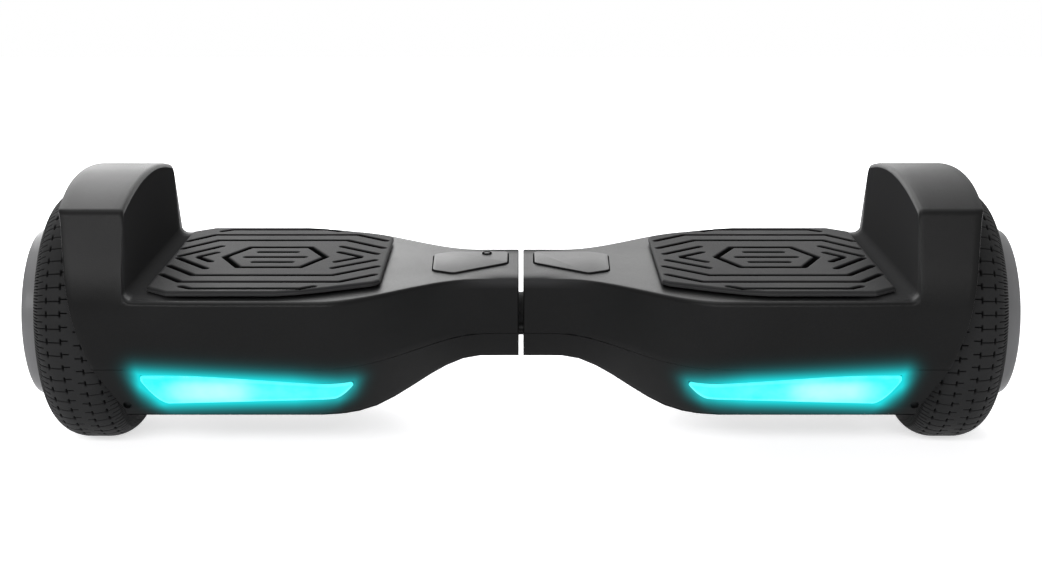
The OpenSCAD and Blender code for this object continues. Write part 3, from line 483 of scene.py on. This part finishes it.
def face_points(h, foot, wall_top, share):
    """From the seam's lip up the front face to the foot of the deck's rounding."""
    inner = h - SEAM_INSET
    low = np.array([inner, foot + FACE_FOOT])
    mid = np.array([h - FACE_IN, (foot + wall_top) / 2])
    high = np.array([h + FACE_OUT, wall_top])
    t = np.linspace(0, 1, N_FACE)[:, None]
    curve = low * (1 - t) * (1 - 2 * t) + mid * 4 * t * (1 - t) + high * t * (2 * t - 1)
    curve[:, 0] -= share * lean_at(curve[:, 1])
    return np.vstack([np.array(LIP_POINTS) + [inner, foot], curve])


def deck_half(x, inset=0.0):
    """Half outline of the shell at place x: lip, face, rounded edge, flat deck."""
    top = DECK_Z - inset
    h = plan_half(x) - inset
    r = mix(WAIST_EDGE_R, EDGE_R, waist_at(x)) - inset
    share = rise(x, LEAN_X, FENDER_X)
    a = np.radians(np.linspace(0, 90, N_EDGE + 1)[1:])
    flat_y = h + FACE_OUT - r - share * lean_at(top - r)
    edge = np.stack([flat_y + r * np.cos(a), top - r + r * np.sin(a)], -1)
    flat = np.stack([flat_y * np.linspace(1, 0, N_TOP + 1)[1:], np.full(N_TOP, top)], -1)
    return np.vstack([face_points(h, seam_z(x), top - r, share), edge, flat])


def crown(y):
    return mix(CROWN_Z, CREASE_Z, (y / CREASE_HALF) ** 2)


def fender_half(inset=0.0):
    """Half outline of the fender: lip, leaning face, rounded crease, crown."""
    h = BODY_HALF - inset
    wall_top = DECK_Z - EDGE_R
    z = np.linspace(wall_top, CREASE_Z - CREASE_FOOT - inset / 2, N_EDGE + 1)[1:]
    edge = np.stack([h + FACE_OUT - lean_at(z), z], -1)
    t = np.linspace(0, 1, N_CREASE + 1)[1:, None]
    start = edge[-1]
    bend = np.array([CREASE_HALF + 0.1 - inset, CREASE_Z + 0.3 - inset])
    end = np.array([CREASE_HALF - CREASE_R - inset, crown(CREASE_HALF - CREASE_R) - inset])
    crease = start * (1 - t) ** 2 + bend * 2 * t * (1 - t) + end * t**2
    ys = np.linspace(end[0], 0, N_TOP - N_CREASE + 1)[1:]
    top = np.stack([ys, crown(ys) - inset], -1)
    return np.vstack([face_points(h, seam_z(FENDER_X), wall_top, 1.0), edge, crease, top])


def hole_half(r, foot):
    """Half outline of a round hole about the axle, from the seam's height up."""
    start = math.asin(max(-1, min(1, (foot - AXLE_Z) / r)))
    a = np.linspace(start, math.pi / 2, N_HALF)
    return np.stack([r * np.cos(a), AXLE_Z + r * np.sin(a)], -1)


def full(half):
    """Whole outline, front edge first, from its half."""
    front = half * [-1, 1]
    return np.vstack([front, half[-2::-1]])


def at(x, outline):
    xs = np.broadcast_to(x, (len(outline),))
    return np.column_stack([xs, outline])


def fender_edge_x(z):
    """Slanted outer edge of fender and skirt, a little smoothed."""
    return np.mean([np.interp(z + k, EDGE_Z, EDGE_X) for k in np.linspace(-6, 6, 9)], axis=0)


def upper_rings():
    """Outlines of the right shell, from the pivot hole to the axle hole."""
    pivot_hole = full(hole_half(PIVOT_HOLE_R, seam_z(HALF_GAP)))
    rings = [
        at(PIVOT_HOLE_X, pivot_hole),
        at(HALF_GAP, pivot_hole),
        at(HALF_GAP, full(deck_half(HALF_GAP, GAP_ROUND))),
        at(HALF_GAP + GAP_ROUND, full(deck_half(HALF_GAP + GAP_ROUND))),
    ]
    rings += [at(x, full(deck_half(x))) for x in DECK_XS]
    low = deck_half(FENDER_X)
    run = fender_half() - low
    length = np.linalg.norm(run, axis=1)
    step = run / np.maximum(length, 1e-6)[:, None]
    fillet = np.minimum(FENDER_FILLET, ROUND_SHARE * length)
    for a in np.radians(np.linspace(0, 90, 7)):
        up = fillet * (1 - math.cos(a))
        rings.append(at(FENDER_X - FENDER_FILLET * (1 - math.sin(a)), full(low + step * up[:, None])))
    rim = np.minimum(FENDER_RIM, ROUND_SHARE * length)
    for a in np.radians(np.linspace(0, 90, 6)):
        up = length - rim * (1 - math.sin(a))
        rings.append(at(RIM_X + FENDER_RIM * (1 - math.cos(a)), full(low + step * up[:, None])))
    top = full(fender_half())
    deep = full(fender_half(SHELL_T))
    end = fender_edge_x(top[:, 1])
    for u in (0.12, 0.3, 0.5, 0.7, 0.88):
        rings.append(at(mix(RIM_X + FENDER_RIM, end - OUTER_EDGE[0][0], u), top))
    for back, sink in OUTER_EDGE:
        rings.append(at(end - back, mix(top, deep, sink)))
    rings.append(at(np.minimum(end - 1, WELL_X + 1.5), deep))
    rings.append(at(np.minimum(end - 1, WELL_X + 0.3), mix(deep, top.mean(0), 0.02)))
    axle_hole = full(hole_half(AXLE_HOLE_R, seam_z(FENDER_X)))
    rings += [at(WELL_X, axle_hole), at(FENDER_X + 1, axle_hole)]
    return np.asarray(rings)


def cavity(obj):
    """Painted shade, up to 1: the shell loses its reflection on the fender's inner wall, at the deck's front
    edge and at its end by the gap.
    """
    spots = np.empty(3 * len(obj.data.vertices))
    obj.data.vertices.foreach_get("co", spots)
    x, y, z = np.abs(spots.reshape(-1, 3).T) / MM
    from_edge = y - plan_half(x)
    wall = rise(x, 204, 224) * (x < RIM_X + 0.1) * (z > DECK_Z - 0.5)
    wall *= mix(1, 0.5, rise(from_edge, -12, -4))
    brow = rise(from_edge, -26, -1) * rise(x, 52, 14) * (z > DECK_Z - 3)
    strip = 0.4 * rise(x, 16, 4) * (z > DECK_Z - 1)
    return np.maximum.reduce([wall, brow, strip])


def upper_shell(side_name, side):
    rings = upper_rings()
    faces = quads(len(rings), rings.shape[1])
    obj = mesh_from(side_name + "_upper_skin", rings.reshape(-1, 3), faces, side)
    # Painted shade on the fender's inner wall, the deck's front edge and its end at the gap
    set_attribute(obj, "cavity", cavity(obj))
    wear(obj, SHELL)
    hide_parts(side_name + "_upper_shell")
    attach(obj, side_name + "_half")


for side_name, side in SIDES:
    upper_shell(side_name, side)
    wear(refined_copy(side_name + "_lower_shell", bevel=0.3), LOWER)


# Headlight lenses, slightly domed over their windows

LENS_X0, LENS_X1 = 104.0, 234.0
LENS_TOP = 67.0
LENS_FALL = 6.6
LENS_INNER_H, LENS_H = 10.5, 21.0
TIP_L, TIP_H, TIP_R = 12, 2.5, 1.2
HEEL_L, HEEL_H, HEEL_R = 16, 3.5, 2.0
LENS_DOME, LENS_ROUND, LENS_SINK = 0.9, 2.2, 0.5
LENS_XS = np.concatenate([
    np.linspace(LENS_X0, LENS_X0 + TIP_L, 16), np.linspace(LENS_X0 + 14, LENS_X1 - 17, 51),
    np.linspace(LENS_X1 - HEEL_L, LENS_X1, 28),
])
LENS_ROWS = np.concatenate([[0, 0.015, 0.05], np.linspace(0.1, 0.9, 13), [0.95, 0.985, 1]])


def lens_limits(x):
    """Top and foot of the lens at place x, with rounded corners at both ends."""
    share = (x - LENS_X0) / (LENS_X1 - LENS_X0)
    top = LENS_TOP - LENS_FALL * (1 - rise(share, 0, 0.89))
    height = top - (LENS_TOP - mix(LENS_FALL + LENS_INNER_H, LENS_H, share))
    tip = np.clip((LENS_X0 + TIP_L - x) / TIP_L, 0, 1) ** 1.8
    heel = np.clip((x - LENS_X1 + HEEL_L) / HEEL_L, 0, 1) ** 1.7
    foot = top - mix(mix(height, TIP_H, tip), HEEL_H, heel)
    for off, r in ((LENS_X1 - x, HEEL_R), (x - LENS_X0, TIP_R)):
        top -= r - math.sqrt(max(r * r - max(r - off, 0) ** 2, 0))
    return top, foot


def heat(x, z, rim):
    """How white the lens glows: round its lamp, a little along its middle and near its rim."""
    lamp = 0.62 * np.exp(-(((x - 192) / 25) ** 4) - ((z - 55.5) / 8) ** 4)
    middle = 0.14 * np.exp(-(((x - 165) / 70) ** 2) - ((z - 55) / 6) ** 2)
    return lamp + middle + 0.12 * rise(np.abs(rim - 1.0), 1.3, 0.5)


def headlight(side_name, side):
    rings, hot = [], []
    for x in LENS_XS:
        top, foot = lens_limits(x)
        height = top - foot
        z = top - height * LENS_ROWS
        rim = np.minimum(LENS_ROWS, 1 - LENS_ROWS) * height
        rim = np.minimum(rim, np.minimum(x - LENS_X0, LENS_X1 - x))
        out = LENS_DOME * rise(rim, 0, LENS_ROUND) - LENS_SINK * (rim < 0.01)
        rings.append(np.column_stack([np.full_like(z, x), -face_y(x, z) - out, z]))
        hot.append(heat(x, z, rim))
    faces = quads(len(LENS_XS), len(LENS_ROWS))
    obj = mesh_from(side_name + "_headlight", np.vstack(rings), faces, side, 50, tidy=False)
    set_attribute(obj, "hot", np.clip(np.concatenate(hot), 0, 1))
    wear(obj, LENS)
    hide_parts(side_name + "_headlight_lens")
    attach(obj, side_name + "_half")


for side_name, side in SIDES:
    headlight(side_name, side)


# Foot mats: a fine sheet with rounded edges and moulded grooves

MAT_X0, MAT_X1, MAT_HALF = 88, 230, 86.5
MAT_TOP = 119.5
MAT_ROUND, MAT_ROUND_SHARE = 2.0, 0.7
MAT_SKIRT = (117.6, 116.5, 116.15)
MAT_FOOT_IN = 0.006
GROOVE_OUT, GROOVE_IN, GROOVE_DEPTH = 2.6, 1.8, 0.85
MAT_OUTLINE = [
    (MAT_X0, 58), (92, 63), (120, 76.8), (136, 83.2), (150, MAT_HALF), (216, MAT_HALF), (MAT_X1, 75)
]
MID = 161.5
# Lines of the grooves on one half of the mat; each is repeated on the other
GROOVES = [
    [(127.5, 74.5), (135.5, 79.5), (202, 79.5), (209, 74.5)],
    [(92.5, 46), (113, 63.5), (211.7, 63.5), (227, 45)],
    [(92.5, 25), (118.8, 47.3), (206.6, 47.3), (226.6, 23)],
    [(95.5, 8.5), (120.5, 29)],
    [(106, 1.2), (120.4, 13)],
    [(202, 30), (224.5, 3)],
    [(202, 12), (211.5, 1.2)],
    [(MID - 33, 0), (MID - 20, 27), (MID + 20, 27), (MID + 33, 0)],
    [(MID - 12, 13.5), (MID + 12, 13.5)],
    [(MID - 19, 0), (MID + 19, 0)],
]


def to_segments(px, py, line):
    """Distance from points to a line of segments."""
    best = np.full(px.shape, 1e9)
    for (ax, ay), (bx, by) in zip(line, line[1:]):
        dx, dy = bx - ax, by - ay
        t = np.clip(((px - ax) * dx + (py - ay) * dy) / (dx * dx + dy * dy), 0, 1)
        best = np.minimum(best, np.hypot(px - ax - t * dx, py - ay - t * dy))
    return best


def mat_sheet():
    """Grid of points on the mat's upper side, and how deep in a groove each one lies."""
    step = 0.6
    xs = np.linspace(MAT_X0, MAT_X1, int((MAT_X1 - MAT_X0) / step) + 1)
    half = np.interp(xs, *zip(*MAT_OUTLINE))
    share = np.linspace(-1, 1, int(2 * MAT_HALF / step) + 1)
    x = np.repeat(xs[:, None], len(share), 1)
    y = half[:, None] * share[None, :]
    edge = to_segments(x, np.abs(y), MAT_OUTLINE)
    edge = np.minimum(edge, np.minimum(x - MAT_X0, MAT_X1 - x))
    groove = np.zeros_like(x)
    for line in GROOVES:
        groove = np.maximum(groove, rise(to_segments(x, np.abs(y), line), GROOVE_OUT, GROOVE_IN))
    past = np.clip(MAT_ROUND - edge, 0, MAT_ROUND)
    fall = MAT_ROUND - np.sqrt(np.maximum(MAT_ROUND**2 - past**2, 0))
    z = MAT_TOP - fall * MAT_ROUND_SHARE - GROOVE_DEPTH * groove
    return np.stack([x, y, z], -1), groove


def foot_mat(side_name, side):
    sheet, groove = mat_sheet()
    n, m = groove.shape
    top = sheet.reshape(-1, 3)
    faces = quads(n, m)
    n_top = len(faces)
    index = np.arange(n * m).reshape(n, m)
    rim = np.concatenate([index[:-1, 0], index[-1, :-1], index[:0:-1, -1], index[0, :0:-1]])
    verts = [top]
    last = rim
    count = n * m
    for z in MAT_SKIRT:
        down = top[rim]
        down[:, 2] = z
        if z == MAT_SKIRT[-1]:
            down[:, 0] = mix(down[:, 0], MID, MAT_FOOT_IN)
            down[:, 1] *= 1 - MAT_FOOT_IN
        verts.append(down)
        here = np.arange(count, count + len(rim))
        faces += np.stack([last, here, np.roll(here, -1), np.roll(last, -1)], -1).tolist()
        last = here
        count += len(rim)
    faces.append(last.tolist())
    obj = mesh_from(side_name + "_mat_tread", np.vstack(verts), faces, side, 45, tidy=False)
    set_attribute(obj, "groove", np.concatenate([groove.ravel(), np.zeros(count - n * m)]))
    wear(obj, MAT, MAT_SIDE_LIT)
    # The sides take the lighter copy of the rubber: painted light
    obj.data.polygons.foreach_set("material_index", [int(k >= n_top) for k in range(len(faces))])
    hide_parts(side_name + "_foot_mat")
    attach(obj, side_name + "_mat")


for side_name, side in SIDES:
    foot_mat(side_name, side)


# Top panels beside the gap, and the indicator

PANEL_LINE = [(9, -1), (43.5, -27.5), (57, -20), (58, 22), (46, 29), (9, 29)]
PANEL_CORNER = 3.0
# How far each ring lies outside the panel's line, and its height above the deck: shadow line, then rim
PANEL_RINGS = [(1.1, 0.02), (0.5, 0.12), (0.0, 0.25), (0.0, 0.9), (-0.12, 1.1), (-0.5, 1.2)]
SHADOW_TOP = 0.2


def rounded(points, radius, steps=6):
    """Outline with its corners rounded."""
    out = []
    n = len(points)
    for i, p in enumerate(points):
        p = np.array(p, float)
        a = np.array(points[i - 1], float) - p
        b = np.array(points[(i + 1) % n], float) - p
        r = min(radius, 0.4 * np.linalg.norm(a), 0.4 * np.linalg.norm(b))
        start = p + a / np.linalg.norm(a) * r
        end = p + b / np.linalg.norm(b) * r
        for t in np.linspace(0, 1, steps):
            out.append(start * (1 - t) ** 2 + p * 2 * t * (1 - t) + end * t**2)
    return np.array(out)


def top_panel(side_name, side):
    line = rounded(PANEL_LINE, PANEL_CORNER)
    centre = line.mean(0)
    away = line - centre
    size = np.linalg.norm(away, axis=1)[:, None]
    rings = [
        np.column_stack([centre + away * (1 + grow / size), np.full(len(line), DECK_Z + height)])
        for grow, height in PANEL_RINGS
    ]
    n = len(line)
    faces = quads(len(rings), n, closed=True)
    faces.append(list(range(n * (len(rings) - 1), n * len(rings))))
    obj = mesh_from(side_name + "_panel", np.vstack(rings), faces, side, 30)
    wear(obj, PANEL, EDGE)
    for poly in obj.data.polygons:
        if poly.center.z < (DECK_Z + SHADOW_TOP) * MM:
            poly.material_index = 1
    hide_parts(side_name + "_top_panel")
    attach(obj, side_name + "_half")


for side_name, side in SIDES:
    top_panel(side_name, side)

INDICATOR = (-22.8, 23.0)
INDICATOR_LENS_R = 2.1
# Radius and height above the deck: dark collar, then the small lens in it
INDICATOR_PROFILE = [
    (3.3, 1.1), (3.3, 1.75), (3.1, 1.9), (2.3, 1.9), (2.2, 1.45), (2.1, 1.6), (1.4, 1.7), (0.01, 1.75)
]


def indicator(steps=48):
    a = np.linspace(0, 2 * math.pi, steps, endpoint=False)
    rings = [
        np.column_stack([r * np.cos(a), r * np.sin(a), np.full(steps, h)]) + [*INDICATOR, DECK_Z]
        for r, h in INDICATOR_PROFILE
    ]
    obj = mesh_from("indicator_dome", np.vstack(rings), quads(len(rings), steps, closed=True), 1, 35)
    wear(obj, EDGE, PANEL)
    for poly in obj.data.polygons:
        if math.dist((poly.center.x / MM, poly.center.y / MM), INDICATOR) < INDICATOR_LENS_R:
            poly.material_index = 1
    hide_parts("indicator_lens")
    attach(obj, "left_half")


indicator()


# Tyres: crowned tread with stepped cross grooves, rows of ticks and fine cuts on the shoulders

RIM_R = 52.0
TYRE_R = 82.5
TYRE_HALF = 27.0
LAND = 6.0
SHOULDER = 18.3
PITCH = 6.0  # degrees from one cross groove to the next
TREAD_DEPTH = 1.1
TREAD_FOOT_R = 68
ROWS = (6.3, 15)
SIDE_STEP, MIDDLE_STEP = 2.0, 0.8  # degrees by which the grooves of one side and of the middle are set off
CUT = 0.3
# Radius and place across of the side wall, from the rim outwards
TYRE_WALL = [
    (RIM_R + 0.1, 20.0), (RIM_R + 3, 20.2), (RIM_R + 5.6, 20.5), (RIM_R + 6.6, 21.6), (RIM_R + 7.8, 24.4),
    (RIM_R + 9.2, 26.1), (62.2, 26.6), (63.4, 26.9),
]
TREAD_US = np.concatenate([[-26.95, -26.7, -26.3], np.linspace(-25.8, 25.8, 105), [26.3, 26.7, 26.95]])


def tread_r(u):
    """Radius at place u across the tyre: level in the middle, with rounded shoulders."""
    share = np.clip((np.abs(u) - LAND) / (TYRE_HALF - LAND), 0, 1)
    return TYRE_R - SHOULDER * (1 - np.sqrt(1 - share**2))


def band(value, pitch, width):
    """1 in the middle of lines that repeat at a pitch, 0 away from them."""
    off = np.abs((value / pitch + 0.5) % 1.0 - 0.5) * pitch
    return rise(off, width, 0.4 * width)


def tread_groove(a, u):
    """Groove depth share at angle a (degrees) and place u across the tread."""
    w = np.abs(u)
    a = a + np.where(u > 0, SIDE_STEP, 0.0)
    near = np.where(w < ROWS[0], MIDDLE_STEP, 0.0)
    cross = band(a + near, PITCH, CUT) * (w > 1.7) * (w < 23.5)
    half = band(a + PITCH / 2, PITCH, CUT) * (w > 17.5) * (w < 23.5)
    rows = sum(rise(np.abs(w - row), 0.75, 0.3) for row in ROWS)
    tick = band(a + 0.4, PITCH, 1.9) * np.clip(rows, 0, 1)
    fine = band(a + 0.2 * w, PITCH / 4, 0.36) * (w > 21.5) * (w < 26.2)
    return np.clip(np.maximum.reduce([cross, half, tick, fine]), 0, 1)


def tyre(side_name, side):
    around = 1440
    crest = [(r, -w) for r, w in TYRE_WALL] + list(zip(tread_r(TREAD_US), TREAD_US)) + TYRE_WALL[::-1]
    r0, u0 = np.array(crest).T
    a, u = np.meshgrid(np.linspace(0, 360, around, endpoint=False), u0, indexing="ij")
    r = np.repeat(r0[None, :], around, 0)
    groove = np.where(r > TREAD_FOOT_R, tread_groove(a, u), 0.0)
    r = r - TREAD_DEPTH * groove
    rad = np.radians(a)
    verts = np.stack([WHEEL_X + u, r * np.cos(rad), AXLE_Z + r * np.sin(rad)], -1).reshape(-1, 3)
    faces = wheel_quads(around, len(r0))
    obj = mesh_from(side_name + "_tyre_tread", verts, faces, side, 60, tidy=False)
    set_attribute(obj, "groove", groove.ravel())
    wear(obj, TYRE)
    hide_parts(side_name + "_tyre")
    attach(obj, side_name + "_wheel")


# Hub covers: domed, with five shallow pockets and recessed screws

# Radius and place across of the cover's side, from the rim outwards
COVER_WALL = [
    (52.2, 20.9), (57.0, 20.9), (56.6, 23.2), (55.6, 29.0), (54.6, 35.0), (54.2, 37.4), (53.7, 38.3)
]
COVER_RS = np.concatenate([np.linspace(53.0, 1.0, 66), [0.02]])
COVER_U, COVER_DOME, COVER_R = 40.5, 2, 54
SPOKE_PITCH = 72
SPOKE_HALF = 4.5
POCKET_R0, POCKET_R1, POCKET_SLOPE, POCKET_DEPTH = 19, 43, 1.6, 1.6
LINE_DEPTH = 0.5
SCREW_RING, SCREW_HOLE_R, SCREW_HOLE_U = 50, 3.5, 32.4


def hub_cover(side_name, side):
    around = 480
    crest = COVER_WALL + [(r, COVER_U - COVER_DOME * (r / COVER_R) ** 2) for r in COVER_RS]
    r0, u0 = np.array(crest).T
    a, r = np.meshgrid(np.linspace(0, 360, around, endpoint=False), r0, indexing="ij")
    u = np.repeat(u0[None, :], around, 0)
    face = np.repeat((np.arange(len(r0)) >= len(COVER_WALL))[None, :], around, 0)
    off = np.abs((a / SPOKE_PITCH + 0.5) % 1.0 - 0.5) * SPOKE_PITCH
    arc = np.radians(SPOKE_PITCH / 2 - off) * r
    pocket = rise(arc, SPOKE_HALF, SPOKE_HALF + POCKET_SLOPE)
    pocket *= rise(r, POCKET_R0, POCKET_R0 + POCKET_SLOPE) * rise(r, POCKET_R1, POCKET_R1 - POCKET_SLOPE)
    lines = rise(np.abs(r - 15.5), 0.7, 0.2) + rise(np.abs(r - 46), 0.6, 0.1)
    u = u - np.where(face, POCKET_DEPTH * pocket + LINE_DEPTH * lines, 0)
    screw = np.hypot(r * np.cos(np.radians(off)) - SCREW_RING, r * np.sin(np.radians(off)))
    u = np.where(face, mix(u, SCREW_HOLE_U, rise(screw, SCREW_HOLE_R, SCREW_HOLE_R - 0.5)), u)
    rad = np.radians(a)
    verts = np.stack([WHEEL_X + u, -r * np.sin(rad), AXLE_Z - r * np.cos(rad)], -1).reshape(-1, 3)
    faces = wheel_quads(around, len(r0))
    obj = mesh_from(side_name + "_hub_face", verts, faces, side, 40, tidy=False)
    wear(obj, COVER)
    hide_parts(side_name + "_hub_cover")
    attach(obj, side_name + "_wheel")


for side_name, side in SIDES:
    tyre(side_name, side)
    hub_cover(side_name, side)


# Pieces that keep their CAD shape, and three small ones with bevelled edges

FINISHES = {
    "frame": CAST, "axle_clamp": CAST, "heat_sink": CAST, "clamp_bolts": SCREW, "shell_screws": SCREW,
    "hub_cover_screws": SCREW, "axle": STEEL, "hub_bearings": STEEL, "pivot_tube": STEEL,
    "retaining_ring": STEEL, "twist_limit_pin": PIN, "pivot_bushes": BRONZE, "pivot_spacer": SLEEVE,
    "stator": CORE, "magnet_ring": CORE, "stator_coils": COPPER, "hub_shell": HUB, "battery_pack": WRAP,
    "main_board": BOARD, "sensor_board": BOARD, "cross_cable": CABLE, "led_strip": LED,
    "power_switch": SLEEVE,
}
for name, obj in nodes.items():
    base = name.replace("left_", "").replace("right_", "")
    if base in FINISHES:
        wear(obj, FINISHES[base])
for node, mat in (("power_button", PANEL), ("charge_cap", PANEL), ("charge_socket", SLEEVE)):
    wear(refined_copy(node, bevel=0.35), mat)


# Stage, light and camera, in metres

FLOOR_Z = -0.0005
FLOOR_ROWS, FLOOR_COLS = (-6, -4, -2, -1, 0, 1, 2), (-6, -2, 2, 6)
FLOOR_NEAR, FLOOR_FAR = 0.5, 1.4  # where the floor under the part starts to clear, and is all white
FLOOR_GLOW = 0.66
WORLD_LIGHT = 0.16
CAMERA_PLACE, CAMERA_TILT = (0, -1.053, 0.382), 15.25
FOCAL_PX, PHOTO_PX, SENSOR = 1650, 1042, 36


def backdrop_rays(tree):
    """1 for the rays that show the white background: straight, mirrored or through glass."""
    path = add(tree, "ShaderNodeLightPath")
    seen = math_node(tree, "MAXIMUM", path.outputs["Is Camera Ray"], path.outputs["Is Glossy Ray"])
    return math_node(tree, "MAXIMUM", seen, path.outputs["Is Transmission Ray"])


def stage_floor():
    """Flat pale floor that the camera sees as nearly white, with the part's soft shadow on it."""
    obj = link("floor", bpy.data.meshes.new("floor"))
    verts = [(x, y, FLOOR_Z) for y in FLOOR_ROWS for x in FLOOR_COLS]
    obj.data.from_pydata(verts, [], quads(len(FLOOR_ROWS), len(FLOOR_COLS)))
    mat, tree, bsdf = new_material("pale_floor")
    coords = object_coords(tree)
    tone = two_tone(tree, ramp(tree, noise(tree, coords, 3.0), 0, 1), grey(0.86), grey(0.9))
    tree.links.new(tone, bsdf.inputs["Base Color"])
    bsdf.inputs["Roughness"].default_value = 0.9
    bsdf.inputs["Specular IOR Level"].default_value = 0.0
    bsdf.inputs["Emission Color"].default_value = (1, 1, 1, 1)
    away = add(tree, "ShaderNodeVectorMath", operation="LENGTH")
    tree.links.new(coords, away.inputs[0])
    clear = ramp(tree, away.outputs["Value"], FLOOR_GLOW, 1.0, FLOOR_NEAR, FLOOR_FAR)
    tree.links.new(math_node(tree, "MULTIPLY", backdrop_rays(tree), clear), bsdf.inputs["Emission Strength"])
    wear(obj, mat)


def area_light(name, place, target, size, size_y, power):
    data = bpy.data.lights.new(name, "AREA")
    data.energy = power
    data.shape = "RECTANGLE"
    data.size = size
    data.size_y = size_y
    obj = link(name, data)
    obj.location = place
    obj.rotation_euler = (Vector(target) - Vector(place)).to_track_quat("-Z", "Y").to_euler()


def white_world():
    world = bpy.data.worlds.new("studio")
    scene.world = world
    world.use_nodes = True
    tree = world.node_tree
    back = tree.nodes["Background"]
    back.inputs["Color"].default_value = (1, 1, 1, 1)
    tree.links.new(ramp(tree, backdrop_rays(tree), WORLD_LIGHT, 1.0, 0, 1), back.inputs["Strength"])


def camera():
    data = bpy.data.cameras.new("camera")
    data.sensor_width = SENSOR
    data.lens = FOCAL_PX / PHOTO_PX * SENSOR
    obj = link("camera", data)
    obj.location = CAMERA_PLACE
    obj.rotation_euler = (math.radians(90 - CAMERA_TILT), 0, 0)
    scene.camera = obj


stage_floor()
# name, place, target, width, height, watts
area_light("rear_left", (-0.7, 1.6, 0.72), (-0.2, 0, 0.12), 1.4, 1.15, 14.5)
area_light("rear_right", (0.32, 1.6, 0.62), (0.1, 0, 0.12), 0.64, 0.95, 3.0)
area_light("rear_top", (-0.4, 1.2, 1.5), (-0.1, 0, 0.15), 1.9, 0.5, 14)
area_light("overhead", (-0.2, 0.1, 2.1), (0, 0, 0.1), 2.2, 1.6, 28)
area_light("front_fill", (-0.35, -1.9, 1.06), (0, 0, 0.12), 2.4, 0.28, 37)
white_world()
camera()
scene.view_settings.view_transform = "Standard"
